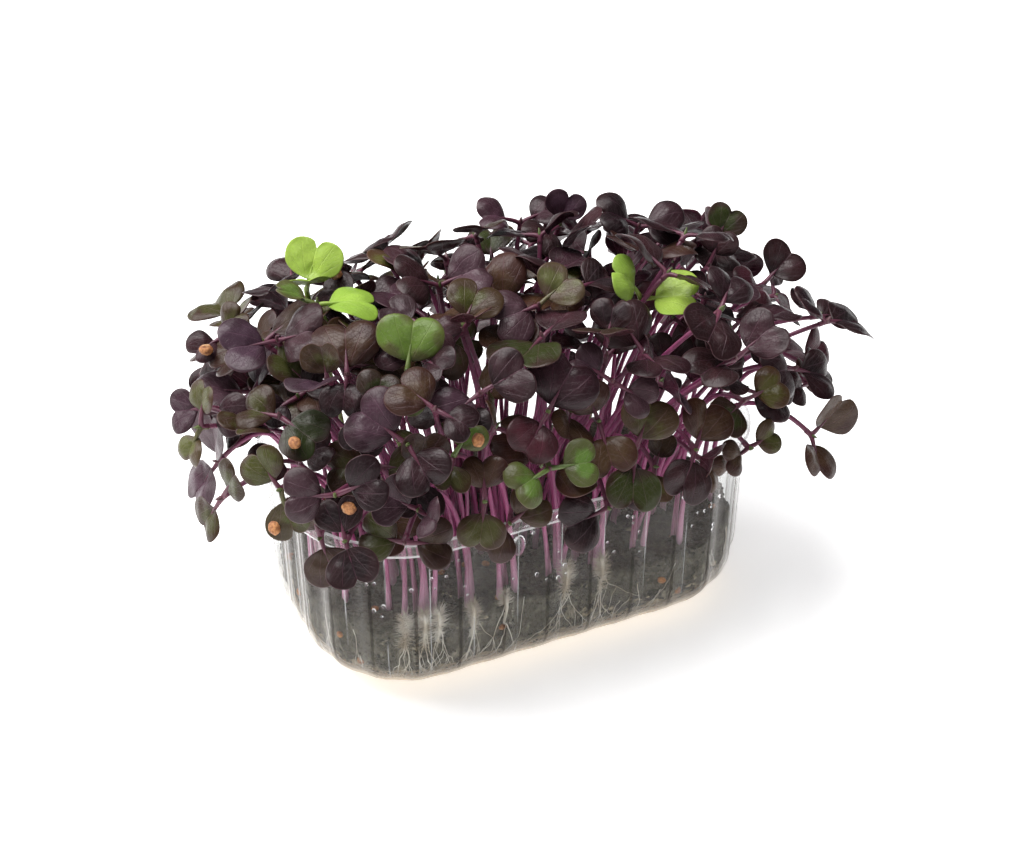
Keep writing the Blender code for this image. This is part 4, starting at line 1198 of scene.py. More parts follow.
def jitter(rng, vector, amount):
    nudge = Vector([rng.uniform(-amount, amount) for _ in range(3)])
    return (vector + nudge).normalized()


def tuft_places():
    """Middles of the tufts: staggered rows along the tray, each as long as the rounded ends allow."""
    places = []
    margin = RIM_STEP + TRAY_TAPER + WALL + FIT_GAP + PLUG_RADIUS + 0.0022
    half_x, half_y = TRAY_LENGTH / 2 - margin, TRAY_WIDTH / 2 - margin
    corner = TRAY_CORNER - margin
    for y, count in TUFT_ROWS:
        over = max(0.0, abs(y) - (half_y - corner))
        end = half_x - corner + math.sqrt(max(corner**2 - over**2, 0.0))
        for i in range(count):
            places.append((-end + 2 * end * i / (count - 1), y))
    return places


def grow_seedlings():
    """Places every seedling, each tried in several poses until its leaves and stem clear all the others."""
    rng = random.Random(SEED)
    shades = random.Random(SEED + 1)
    wall = tray_tree()
    placed, trees = [], []

    shown, towards = [], facing(*SHOWN_TOWARDS)

    def clear(plant, covers=False):
        """True if it touches nothing and, where it may cover nothing, leaves the placed heads in sight."""
        if not within_limits(plant):
            return False
        tree = tree_of(plant, CLEARANCE)
        if tree.overlap(wall) or not covers and any(tree.ray_cast(spot, towards)[0] for spot in shown):
            return False
        if any((spot - plant.head).length < 0.110 and tree.overlap(old) for spot, old in trees):
            return False
        return not crosses_itself(plant)

    def keep(plant, tuft, kind, finishes):
        plant.finishes = finishes
        placed.append((plant, tuft, kind))
        trees.append((plant.head, tree_of(plant)))

    def by_hand(root, row, amount):
        """A seedling whose head is where the row puts it, but for a small random amount."""
        nudge = Vector([rng.uniform(-amount, amount) for _ in range(3)])
        head = (Vector(row[:3]) + nudge * 3) / 1000
        turn = math.radians(row[5]) + rng.uniform(-amount, amount) / 2
        widths = [width * (1 - 0.1 * amount) / 1000 for width in row[6:8]]
        lifts = [math.radians(lift + rng.uniform(-6, 6) * amount) for lift in row[8:10]]
        normal = jitter(rng, facing(*row[3:5]), 0.16 * amount)
        return Seedling(rng, (*root, SOIL_TOP - ROOT_SINK), head, normal, turn, widths, lifts)

    def try_row(root, row):
        for attempt in range(PLACED_TRIES):
            plant = by_hand(root, row, 2.2 * attempt / PLACED_TRIES)
            if clear(plant, True):
                return plant
        return None

    for number, (root, row) in enumerate(PALE_SEEDLINGS):
        plant = try_row(root, row)
        if not plant:
            raise RuntimeError("a pale seedling found no clear place")
        keep(plant, number, "pale", row[10:])
        shown += lobe_middles(plant)

    tufts = [p for p in tuft_places() if all(math.dist(p, s[0]) > 0.0085 for s in PALE_SEEDLINGS)]
    jobs = []
    for number, (x, y) in enumerate(tufts):
        start = rng.uniform(0, 2 * math.pi)
        for k in range(SEEDLINGS_PER_TUFT):
            turn = start + 2 * math.pi * k / SEEDLINGS_PER_TUFT
            jobs.append((number, (x + TUFT_SPREAD * math.cos(turn), y + TUFT_SPREAD * math.sin(turn)), turn))
    jobs.sort(key=lambda job: -max(abs(job[1][0]) / TRAY_LENGTH, abs(job[1][1]) / TRAY_WIDTH))
    for row in PLACED_HEADS:
        aim = (row[0] * HEAD_TO_ROOT[0], row[1] * HEAD_TO_ROOT[1])
        for job in sorted(jobs, key=lambda job: math.dist(job[1], aim))[:4]:
            plant = try_row(job[1], row)
            if plant:
                keep(plant, job[0], "tuft", row[10:])
                jobs.remove(job)
                shown += lobe_middles(plant)
                break
    for number, root, turn in jobs:
        spread = 0.0055
        guide = (root[0] + spread * math.cos(turn), root[1] + spread * math.sin(turn))
        for attempt in range(TRIES):
            stage = min(3, 4 * attempt // TRIES)
            shallow, deep, size, least_lift, most_lift = STAGES[stage]
            head, normal = canopy_head(guide, rng, rng.uniform(deep, shallow), rng.uniform(-0.24, 0.12))
            lifts = [math.radians(rng.uniform(least_lift, most_lift)) for _ in range(2)]
            widths = [rng.uniform(*BLADE_WIDTH) * size for _ in range(2)]
            normal = jitter(rng, normal, 0.38 + 0.1 * stage)
            turn = rng.uniform(0, 2 * math.pi)
            plant = Seedling(rng, (*root, SOIL_TOP - ROOT_SINK), head, normal, turn, widths, lifts)
            if clear(plant):
                choice = RIGHT_FINISHES if head.x > 0.015 else LEFT_FINISHES
                first = shades.choice(choice)
                second = first if shades.random() < 0.6 else shades.choice(choice)
                keep(plant, number, "tuft", (first, second))
                break
    husks = place_husks(rng, placed, [tree for _, tree in trees])
    return placed, tufts, husks, fill_gaps(placed, husks, wall, shades)


def leaf_sheets(plant, offsets):
    """The seedling's two leaves as flat fans of triangles, moved off their middle surface by each offset."""
    points, cells = [], []
    for which in (0, 1):
        outline, square = plant.blade_outline(which)
        base = plant.head + plant.blade_frame(which)[0] * 0.0008
        for offset in offsets:
            first = len(points)
            points += [p + square * offset for p in (base, *outline)]
            cells += [(first, first + k, first + k + 1) for k in range(1, 9)]
    return points, cells


def stem_prism(plant, radius, steps=6):
    """The seedling's stem as a three-sided tube without ends."""
    points, cells = [], []
    for k in range(steps + 1):
        t = min(k / steps, 0.93)
        centre, heading = plant.stem_point(t), plant.stem_heading(t)
        side = heading.orthogonal().normalized()
        other = heading.cross(side)
        for corner in range(3):
            turn = 2 * math.pi * corner / 3
            points.append(centre + (side * math.cos(turn) + other * math.sin(turn)) * radius)
    for k in range(steps):
        for corner in range(3):
            a, b = 3 * k + corner, 3 * k + (corner + 1) % 3
            cells += [(a, b, b + 3), (a, b + 3, a + 3)]
    return points, cells


class Thicket:
    """Triangles that further seedlings have to miss."""

    def __init__(self):
        self.points, self.cells, self.tree = [], [], None

    def add(self, points, cells):
        first = len(self.points)
        self.points += points
        self.cells += [tuple(first + k for k in cell) for cell in cells]
        self.tree = BVHTree.FromPolygons(self.points, self.cells)

    def meets(self, points, cells):
        return bool(self.tree.overlap(BVHTree.FromPolygons(points, cells)))


def camera_axes():
    """The camera's right, up and backward directions."""
    turn, up = CAMERA_BEARING, CAMERA_RISE
    back = Vector((math.sin(turn) * math.cos(up), -math.cos(turn) * math.cos(up), math.sin(up)))
    right = Vector((math.cos(turn), math.sin(turn), 0))
    return right, back.cross(right), back


def in_picture(point):
    """Where the camera sees a point, in pixels."""
    right, up, back = camera_axes()
    reach = LENS / SENSOR * PICTURE[0]
    way = point - CAMERA
    depth = -way.dot(back)
    return PICTURE[0] / 2 + reach * way.dot(right) / depth, PICTURE[1] / 2 - reach * way.dot(up) / depth


def within_outline(point):
    """True if the camera sees the point inside the mound's outline."""
    x, y = in_picture(point)
    inside = False
    for (x1, y1), (x2, y2) in zip(MOUND_OUTLINE, MOUND_OUTLINE[1:] + MOUND_OUTLINE[:1]):
        if (y1 > y) != (y2 > y) and x < x1 + (y - y1) / (y2 - y1) * (x2 - x1):
            inside = not inside
    return inside


def fill_gaps(placed, husks, wall, shades):
    """More seedlings between the model's own, at the outside of the mound first and then behind it."""
    rng = random.Random(SEED + 2)
    extra, leaves, stems = [], Thicket(), Thicket()
    for place, turn in husks:
        bm = bmesh.new()
        husk_mesh(bm, place, turn)
        cells = [tuple(vert.index for vert in face.verts) for face in bm.faces]
        leaves.add([vert.co.copy() for vert in bm.verts], cells)
        bm.free()
    for plant, *_ in placed:
        leaves.add(*leaf_sheets(plant, (0.0,)))
        stems.add(*stem_prism(plant, STEM_WIDTH / 2))
    # What the camera has to see: the husks, the whole of the pale seedlings, and the middles of the
    # lobes of the other seedlings placed from the listed heads.
    seen = [place for place, _ in husks]
    for plant, *_ in placed[:len(PALE_SEEDLINGS)]:
        seen += plant.blade_outline(0)[0] + plant.blade_outline(1)[0]
    for plant, *_ in placed[:len(PALE_SEEDLINGS) + len(PLACED_HEADS)]:
        seen += lobe_middles(plant)
    reach_x, reach_y = TRAY_LENGTH / 2 - 0.0095, TRAY_WIDTH / 2 - 0.0095

    def sprout(stage, sinks, root=None):
        """A seedling somewhere on the mound, from that root or a random one."""
        shallow, deep, size, least_lift, most_lift, _ = stage
        x, y = rng.uniform(-1, 1), rng.uniform(-1, 1)
        guide = (root.x, root.y) if root else (x * reach_x, y * reach_y)
        head, normal = canopy_head(guide, rng, rng.uniform(deep, shallow), rng.uniform(*sinks))
        lifts = [math.radians(rng.uniform(least_lift, most_lift)) for _ in range(2)]
        widths = [rng.uniform(*BLADE_WIDTH) * size for _ in range(2)]
        normal = jitter(rng, normal, 0.75 if head.x > 0.015 else 0.50)
        axis_turn = rng.uniform(0, 2 * math.pi)
        rho = max(1.0, (abs(x) ** 3.2 + abs(y) ** 3.2) ** (1 / 3.2))
        foot = root or Vector((x / rho * reach_x, y / rho * reach_y, SOIL_TOP - ROOT_SINK))
        return Seedling(rng, foot, head, normal, axis_turn, widths, lifts)

    def has_room(plant):
        """True if it is inside the mound's outline, touches nothing and hides nothing that has to show."""
        if not within_limits(plant):
            return False
        if not all(within_outline(p) for which in (0, 1) for p in plant.blade_outline(which)[0]):
            return False
        sheets = leaf_sheets(plant, (-FILL_CLEARANCE, FILL_CLEARANCE))
        if leaves.meets(*sheets) or stems.meets(*sheets) or leaves.meets(*stem_prism(plant, STEM_WIDTH / 2)):
            return False
        own = BVHTree.FromPolygons(*leaf_sheets(plant, (0.0,)))
        if any(own.ray_cast(p, CAMERA - p)[0] for p in seen):
            return False
        return not tree_of(plant, CLEARANCE).overlap(wall) and not crosses_itself(plant)

    def keep(plant):
        choice = RIGHT_FINISHES if plant.head.x > 0.015 else LEFT_FINISHES
        first = shades.choice(choice)
        plant.finishes = (first, first if shades.random() < 0.6 else shades.choice(choice))
        extra.append(plant)
        leaves.add(*leaf_sheets(plant, (0.0,)))
        stems.add(*stem_prism(plant, STEM_WIDTH / 2))

    inside = WallMap()
    for x, _ in COLLARS:
        root = inside.place(inside.around_at(x / 1000), SOIL_TOP - ROOT_SINK, COLLAR_DEPTH)
        for _ in range(COLLAR_STAGE[-1]):
            plant = sprout(COLLAR_STAGE, (-0.95, 0.0), root)
            if has_room(plant):
                keep(plant)
                break
    for stage in FILL_STAGES:
        for _ in range(stage[-1]):
            plant = sprout(stage, (-0.24, 0.10))
            if has_room(plant):
                keep(plant)
    return extra


def place_husks(rng, placed, trees):
    """Rests each husk just clear of the purple leaf nearest to its spot that has room for it."""
    husks = []
    for spot in HUSK_SPOTS:
        beds = []
        for plant, *_ in placed[len(PALE_SEEDLINGS):]:
            for which in (0, 1):
                for side in (slice(0, 5), slice(4, 9)):
                    lobe = plant.blade_outline(which)[0][side]
                    beds.append((sum(lobe, Vector()) / len(lobe), plant.blade_frame(which)[2]))
        beds.sort(key=lambda bed: (bed[0] - Vector(spot) / 1000).length)
        for rest, square in beds[:40]:
            up = square if square.z > 0 else -square
            place = rest + up * (BLADE_THICKNESS / 2 + HUSK_RADII[2] + HUSK_LIFT)
            spin = Euler((0, 0, rng.uniform(0, math.pi))).to_matrix().to_4x4()
            turn = up.to_track_quat("Z", "Y").to_matrix().to_4x4() @ spin
            bm = bmesh.new()
            husk_mesh(bm, place, turn)
            bmesh.ops.scale(bm, vec=(1.3, 1.3, 1.3), space=Matrix.Translation(-place), verts=bm.verts)
            tree = BVHTree.FromBMesh(bm)
            bm.free()
            apart = all((place - other).length > 0.008 for other, _ in husks)
            if up.z > 0.35 and apart and not any(tree.overlap(old) for old in trees):
                husks.append((place, turn))
                break
    return husks


# Finer seedlings


def leaf_edge(sides, rng):
    """One leaf's outline as shares of its width, evenly spaced from its base round to its base."""
    half = np.array(FINE_HALF)
    half[-1, 1] += rng.uniform(-0.05, 0.04)
    half[-2, 1] += rng.uniform(-0.03, 0.02)
    curve = smooth_path(half, 200)
    run = np.concatenate([[0], np.cumsum(np.linalg.norm(np.diff(curve, axis=0), axis=1))])
    at = np.linspace(0, run[-1], sides // 2 + 1)
    curve = np.stack([np.interp(at, run, curve[:, k]) for k in (0, 1)], axis=1)
    left = curve[-2:0:-1] * (-1, 1)
    lopsided = rng.uniform(-0.05, 0.05)
    return np.concatenate([curve * (1 + lopsided, 1), left * (1 - lopsided, 1)])


def grow_leaf(shell, plant, which, settings, rng):
    """A seed leaf as a closed thin body with rounded edges, gentle puckers and a slightly wavy edge."""
    blade = plant.blades[which]
    along, across, square = [np.array(v) for v in plant.blade_frame(which)]
    edge = leaf_edge(settings.sides, rng)
    middle = np.array(LEAF_MIDDLE)
    width = blade.width
    shares = np.array([0.0, 0.16, 0.34, 0.52, 0.68, 0.82, 0.92, 0.975, 1.0])
    flat = middle + shares[:, None, None] * (edge - middle)
    u, v = flat[..., 0], flat[..., 1]
    turn = np.arange(settings.sides) / settings.sides * 2 * math.pi
    phases = [rng.uniform(0, 2 * math.pi) for _ in range(4)]
    height = width * (blade.fold * (np.sqrt(u**2 + 0.04**2) - 0.04) - blade.droop * v**2)
    rim = shares[:, None] ** 4
    puckers = np.sin(15 * u + phases[0]) * np.sin(14 * v + phases[1]) * (1 - shares[:, None] ** 6)
    waves = np.sin(3 * turn + phases[2]) + 0.5 * np.sin(5 * turn + phases[3])
    domes = np.exp(-(((np.abs(u) - 0.26) / 0.17) ** 2) - ((v - 0.40) / 0.22) ** 2)
    valley = np.exp(-((u / 0.06) ** 2)) * np.clip(1.6 - 3 * v, 0, 1)
    height += width * 0.016 * puckers
    height += width * 0.026 * rim * waves
    height += width * rng.uniform(-0.09, 0.05) * rim
    height += width * rng.uniform(0.015, 0.070) * domes
    height -= width * 0.030 * valley
    height += width * rng.uniform(-0.30, 0.30) * u * v
    half = settings.thickness / 2 * (1 - 0.50 * shares**4)
    half[-2] *= 0.75
    half[-1] = 0.0
    top_colour, blotch = [np.array(c) for c in LEAF_FINISHES[plant.finishes[which]]]
    green = plant.finishes[which] in GREEN_FINISHES
    vary = rng.uniform(0.82, 1.22) * (1.0 if green else np.interp(plant.head.x, *DEPTH_ALONG))
    warm = np.array([rng.uniform(0.92, 1.10), 0.97, rng.uniform(0.78, 1.00)])
    top_colour, blotch = top_colour * vary * warm, blotch * vary * warm
    own, purple = (0.70, 0.05) if green else (0.25, 0.80)
    under = top_colour * own + np.array(settings.underside) * purple * rng.uniform(0.7, 1.3)
    chance = rng.random()
    rings, tints, blushes, marks, uvs = [], [], [], [], []
    order = list(range(len(shares))) + list(range(len(shares) - 2, -1, -1))
    for number, k in enumerate(order):
        top = number < len(shares)
        lift = height[k] + (half[k] if top else -half[k])
        ring = np.array(plant.head) + np.outer(u[k] * width, across)
        rings.append(ring + np.outer(blade.petiole + v[k] * width, along) + np.outer(lift, square))
        shade = 1.0 - 0.18 * np.exp(-((v[k] / 0.10) ** 2))[:, None]
        tints.append((top_colour if top else under) * shade * np.ones((settings.sides, 1)))
        blushes.append((blotch if top else under * 0.75) * shade * np.ones((settings.sides, 1)))
        side = 0.5 * (1 + np.sign(len(shares) - 1 - number))
        marks.append(np.tile((shares[k], side, chance), (settings.sides, 1)))
        uvs.append(np.stack([u[k] + 0.5, v[k]], axis=1))
    shell.loft(rings, 0, np.array(tints), np.array(blushes), np.array(marks), np.array(uvs))
    # The petiole runs from the stem's top into the leaf's midrib.
    head = np.array(plant.head)
    heading = np.array(plant.stem_heading(0.97))

    def keel(share):
        drop = blade.droop * share**2 * width + 0.00022
        return head + along * (blade.petiole + share * width) - square * drop

    joint = head - heading * 0.0004 + along * 0.0002
    middle = head + along * blade.petiole * 0.55 - square * 0.0001
    path = smooth_path([head - heading * 0.0022, joint, middle, keel(0.03), keel(0.14), keel(0.26)], 13)
    spread = np.linspace(0, 1, 13)
    radii = np.interp(spread, (0, 0.25, 0.6, 1), (0.00076, 0.00070, 0.00052, 0.00012))
    # The petiole starts from the stem's top colour, which is darkened as painted shade under the leaves.
    shaded_stem_top = np.array(settings.shaded_stem_top)
    tints = np.outer(1 - spread, shaded_stem_top * 1.15) + np.outer(spread, under * 0.5 + shaded_stem_top * 0.45)
    if green:
        tints = tints * 0.25 + np.outer(np.ones(13), top_colour * 0.85)
    shell.tube(path, radii, settings.stem_sides - 1, 1, tints)


def grow_seedling(shell, plant, kind, settings, rng):
    """A stem from its root plug to its head, its two leaves, and the bud between them."""
    count = settings.stem_rings
    path = [np.array((plant.root.x, plant.root.y, plant.root.z))]
    wobble = [rng.uniform(-0.00022, 0.00022) for _ in range(4)]
    for k in range(count):
        t = k / (count - 1) * 0.995
        sway = math.sin(math.pi * t)
        x = wobble[0] * math.sin(7 * t + wobble[2] * 9e3)
        y = wobble[1] * math.cos(6 * t + wobble[3] * 9e3)
        path.append(np.array(plant.stem_point(t) + Vector((x, y, 0)) * sway))
    spread = np.linspace(0, 1, count + 1)
    radii = np.interp(spread, *STEM_RADII) * rng.uniform(0.86, 1.02)
    shade = rng.uniform(0.72, 1.25)
    colours = PALE_STEM if kind == "pale" else (settings.root, settings.stem, settings.shaded_stem_top)
    root, middle, top = [np.array(colour) for colour in colours]
    # From the middle up the stem darkens to its top colour: painted shade under the leaves.
    stops = np.array((root, root, middle, middle * 0.75, top))
    tints = np.stack([np.interp(spread, STEM_STOPS, stops[:, part]) for part in range(3)], axis=1)
    shell.tube(path, radii, settings.stem_sides, 1, tints * shade)
    for which in (0, 1):
        grow_leaf(shell, plant, which, settings, rng)
    head, normal = np.array(plant.head), np.array(plant.normal)
    bud = head + np.outer((-0.0004, 0.0004, 0.0010, 0.0016, 0.0020), normal)
    colour = np.array((0.10, 0.13, 0.04) if rng.random() < 0.5 else (0.12, 0.05, 0.06))
    flatten = (np.array(plant.axis), (0.0, 0.2, 0.4, 0.3, 0.0))
    shell.tube(bud, (0.0006, 0.0007, 0.0006, 0.00035, 0.0001), 7, 1, np.tile(colour, (5, 1)), flatten)


def grow_plug(shell, centre, radius):
    """A root plug: a lumpy crumb of medium round the roots, as deep and wide as the model's."""
    levels = np.linspace(PLUG_TOP - PLUG_DEPTH, PLUG_TOP, 7)
    last = len(levels) - 1
    sides = 14
    turn = np.arange(sides) / sides * 2 * math.pi
    x, y = centre
    rings = [np.tile((x, y, levels[0]), (sides, 1))]
    for k, z in enumerate(levels):
        here = (radius + PLUG_TAPER * (z - PLUG_TOP)) * (0.55 if k == last else 0.95)
        spots = [Vector((x * 300 + math.cos(a), y * 300 + math.sin(a), z * 400)) for a in turn]
        lumps = here * (1 - 0.20 * np.array([abs(noise.noise(spot)) for spot in spots]))
        level = np.full(sides, z - (0.0012 if k == last - 1 else 0))
        rings.append(np.stack([x + lumps * np.cos(turn), y + lumps * np.sin(turn), level], axis=1))
    rings.append(np.tile((x, y, PLUG_TOP), (sides, 1)))
    shell.loft(rings, 2, (0.05, 0.045, 0.035))


# Operators


def settings_of(name):
    return getattr(bpy.context.scene, "microgreens_" + name)


GROWN = []


def grown():
    """The seedlings' layout, grown once and kept for the operators that need it."""
    if not GROWN:
        GROWN.append(grow_seedlings())
    return GROWN[0]


def geometry_tree(name, inputs):
    """An empty Geometry Nodes tree with a geometry input and output and the named inputs."""
    tree = bpy.data.node_groups.new(name, "GeometryNodeTree")
    tree.interface.new_socket("Geometry", in_out="INPUT", socket_type="NodeSocketGeometry")
    tree.interface.new_socket("Geometry", in_out="OUTPUT", socket_type="NodeSocketGeometry")
    for title, kind, value in inputs:
        socket = tree.interface.new_socket(title, in_out="INPUT", socket_type=kind)
        if value is not None:
            socket.default_value = value
    nodes = Nodes(tree)
    return nodes, nodes.node("NodeGroupInput").outputs


def close_tree(nodes, geometry, material):
    """Ends a tree with its instances made real and its material set."""
    whole = nodes.node("GeometryNodeRealizeInstances", None, {"Geometry": geometry})
    finished = nodes.node("GeometryNodeSetMaterial", None, {
        "Geometry": whole.outputs[0], "Material": material,
    })
    nodes.node("NodeGroupOutput", None, {0: finished.outputs[0]})


def run_tree(nodes, obj, values, name):
    """Runs the tree on the object with those inputs and keeps the result as a plain mesh of that name."""
    tree = nodes.tree
    modifier = obj.modifiers.new(tree.name, "NODES")
    modifier.node_group = tree
    for item in tree.interface.items_tree:
        if item.item_type == "SOCKET" and item.in_out == "INPUT" and item.name in values:
            modifier[item.identifier] = values[item.name]
    bpy.context.view_layer.update()
    graph = bpy.context.evaluated_depsgraph_get()
    mesh = bpy.data.meshes.new_from_object(obj.evaluated_get(graph))
    obj.modifiers.remove(modifier)
    mesh.name = name
    return mesh


def tray_profile():
    """The wall's section from the base up the outside and back down: inset, share of flute and height."""
    wall_top = TRAY_HEIGHT - RIM_BAND

    def skin(thickness):
        made = []
        for step in range(11):
            angle = math.pi / 2 * step / 10
            z = BASE_FILLET * (1 - math.cos(angle))
            inset, share = wall_inset(z)
            made.append((inset + thickness * math.sin(angle), share, z + thickness * math.cos(angle)))
        for z in np.linspace(BASE_FILLET, wall_top - 0.0016, 9)[1:]:
            made.append((wall_inset(z)[0] + thickness, 1.0, z))
        return made

    outer, inner = skin(0.0), skin(WALL)
    step_out = [
        (RIM_STEP, 1.0, wall_top - 0.0009), (RIM_STEP - 0.0003, 0.7, wall_top - 0.0003),
        (RIM_STEP - 0.0009, 0.3, wall_top), (0.0006, 0.0, wall_top + 0.0001),
        (0.0001, 0.0, wall_top + 0.0006), (0.0, 0.0, wall_top + 0.0014),
        (0.0, 0.0, TRAY_HEIGHT - 0.0012), (0.0, 0.0, TRAY_HEIGHT - 0.0004),
        (0.00015, 0.0, TRAY_HEIGHT - 0.0001), (WALL * 0.5, 0.0, TRAY_HEIGHT),
        (WALL - 0.00015, 0.0, TRAY_HEIGHT - 0.0001), (WALL, 0.0, TRAY_HEIGHT - 0.0004),
    ]
    step_in = [
        (WALL, 0.0, wall_top + 0.0016), (0.0012, 0.0, wall_top + 0.0009),
        (RIM_STEP - 0.0002, 0.3, wall_top + 0.0006), (RIM_STEP + 0.0004, 0.7, wall_top + 0.0001),
        (RIM_STEP + WALL, 1.0, wall_top - 0.0006),
    ]
    return outer + step_out + step_in + inner[::-1]


def tray_tree_nodes():
    """Sweeps the section, whose points are the incoming mesh's, round a rounded rectangle and flutes it."""
    n, given = geometry_tree("fluted tray", (
        ("Length", "NodeSocketFloat", 0.1), ("Width", "NodeSocketFloat", 0.1),
        ("Corner Radius", "NodeSocketFloat", 0.01), ("Flutes", "NodeSocketInt", 10),
        ("Flute Depth", "NodeSocketFloat", 0.001), ("Points Round", "NodeSocketInt", 100),
        ("Section Points", "NodeSocketInt", 10), ("Outer Points", "NodeSocketInt", 5),
        ("First Flute", "NodeSocketFloat", 0.0), ("Material", "NodeSocketMaterial", None),
    ))
    box = n.node("GeometryNodeCurvePrimitiveQuadrilateral", None, {
        "Width": given["Length"], "Height": given["Width"],
    })
    rounded = n.node("GeometryNodeFilletCurve", {"mode": "POLY"}, {
        "Curve": box.outputs[0], "Radius": given["Corner Radius"], "Count": 60,
    })
    grid = n.node("GeometryNodeMeshGrid", None, {
        "Size X": 1.0, "Size Y": 1.0,
        "Vertices X": Value(n, given["Points Round"]) + 1.0, "Vertices Y": given["Section Points"],
    })
    position = n.node("GeometryNodeInputPosition").outputs[0]
    x, y, _ = n.parts(position)
    round_share = x + 0.5
    number = ((y + 0.5) * (Value(n, given["Section Points"]) - 1.0)).maths("ROUND")
    sample = n.node("GeometryNodeSampleCurve", {"mode": "FACTOR", "data_type": "FLOAT_VECTOR"}, {
        "Curves": rounded.outputs[0], "Factor": round_share,
    })
    section = n.node("GeometryNodeSampleIndex", {"data_type": "FLOAT_VECTOR", "domain": "POINT"}, {
        "Geometry": given["Geometry"], "Value": position, "Index": number,
    })
    inset, share, height = n.parts(section.outputs[0])
    outward = n.vector("CROSS_PRODUCT", sample.outputs["Tangent"], (0.0, 0.0, 1.0))
    angle = (round_share + Value(n, given["First Flute"])) * Value(n, given["Flutes"]) * (2 * math.pi)
    wave = angle.maths("COSINE")
    inner = number.maths("GREATER_THAN", Value(n, given["Outer Points"]))
    profile = (wave * 1.5).highest(-1.0).lowest(1.0)
    move = profile * share * Value(n, given["Flute Depth"]) - inset
    target = n.vector("ADD", sample.outputs["Position"], n.scaled(outward, move))
    target = n.vector("ADD", target, n.joined(0.0, 0.0, height))
    stored = n.node("GeometryNodeStoreNamedAttribute", {"data_type": "FLOAT_VECTOR", "domain": "POINT"}, {
        "Geometry": grid.outputs[0], "Name": "flute",
        "Value": n.joined(wave, angle.sine(), 1.0 - share + inner * 2.0),
    })
    moved = n.node("GeometryNodeSetPosition", None, {"Geometry": stored.outputs[0], "Position": target})
    merged = n.node("GeometryNodeMergeByDistance", None, {"Geometry": moved.outputs[0], "Distance": 0.000002})
    close_tree(n, merged.outputs[0], given["Material"])
    return n


class MICROGREENS_OT_tray(bpy.types.Operator):
    """Adds the clear fluted tray"""

    bl_idname = "microgreens.tray"
    bl_label = "Tray"

    def execute(self, context):
        settings = settings_of("tray")
        profile = tray_profile()
        seedbed = bpy.data.meshes.new("tray section")
        seedbed.from_pydata(profile, [(i, i + 1) for i in range(len(profile) - 1)], [])
        section = shown("tray section", seedbed)
        nodes = tray_tree_nodes()
        # The swept outline starts where the right end meets its corner, and the first flute is mid-end.
        straights = 2 * (settings.length + settings.width - 4 * settings.corner)
        first = (settings.width / 2 - settings.corner) / (straights + 2 * math.pi * settings.corner)
        mesh = run_tree(nodes, section, {
            "Length": settings.length, "Width": settings.width, "Corner Radius": settings.corner,
            "Flutes": settings.flutes, "Flute Depth": settings.flute_depth,
            "Points Round": settings.flutes * settings.points, "First Flute": first,
            "Section Points": len(profile), "Outer Points": len(profile) // 2 + 3,
            "Material": finish("clear plastic", plastic_finish, settings),
        }, "fluted_tray")
        bpy.data.objects.remove(section)
        bm = bmesh.new()
        bm.from_mesh(mesh)
        open_edges = [edge for edge in bm.edges if edge.is_boundary]
        made = bmesh.ops.holes_fill(bm, edges=open_edges, sides=0)["faces"]
        if len(made) != 2:
            raise RuntimeError(f"the tray's base closed with {len(made)} faces, not 2")
        bmesh.ops.recalc_face_normals(bm, faces=bm.faces)
        bm.to_mesh(mesh)
        bm.free()
        mesh.shade_smooth()
        tray = shown("fluted_tray", mesh)
        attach(tray, "root")
        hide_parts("tray")
        return {"FINISHED"}


def scatter_tree(name, shape, shape_inputs, tilt, flat=None):
    """Strews a small shape over a surface, each turned and sized at random, flattened by a share or not."""
    n, given = geometry_tree(name, (
        ("Density", "NodeSocketFloat", 1000.0), ("Size", "NodeSocketFloat", 0.001),
        ("Least Share", "NodeSocketFloat", 0.4), ("Seed", "NodeSocketInt", 1),
        ("Material", "NodeSocketMaterial", None),
    ))
    points = n.node("GeometryNodeDistributePointsOnFaces", {"distribute_method": "RANDOM"}, {
        "Mesh": given["Geometry"], "Density": given["Density"], "Seed": given["Seed"],
    })
    size = Value(n, given["Size"])
    ends = [size * Value(n, given["Least Share"]), size]
    if flat:
        ends = [n.joined(end, end, end * flat) for end in ends]
    # A random vector has the first sockets of the node, and a random number the next.
    kind, socket = ("FLOAT_VECTOR", 0) if flat else ("FLOAT", 1)
    scale = n.node("FunctionNodeRandomValue", {"data_type": kind}, {
        2 * socket: ends[0], 2 * socket + 1: ends[1], "Seed": given["Seed"],
    })
    strewn = n.node("GeometryNodeInstanceOnPoints", None, {
        "Points": points.outputs["Points"], "Instance": n.node(shape, None, shape_inputs).outputs["Mesh"],
        "Rotation": points.outputs["Rotation"], "Scale": scale.outputs[socket],
    })
    spin = n.node("FunctionNodeRandomValue", {"data_type": "FLOAT_VECTOR"}, {
        0: (-tilt, -tilt, 0.0), 1: (tilt, tilt, 6.28), "Seed": given["Seed"],
    })
    turned = n.node("GeometryNodeRotateInstances", None, {
        "Instances": strewn.outputs[0], "Rotation": spin.outputs[0],
    })
    close_tree(n, turned.outputs[0], given["Material"])
    return n


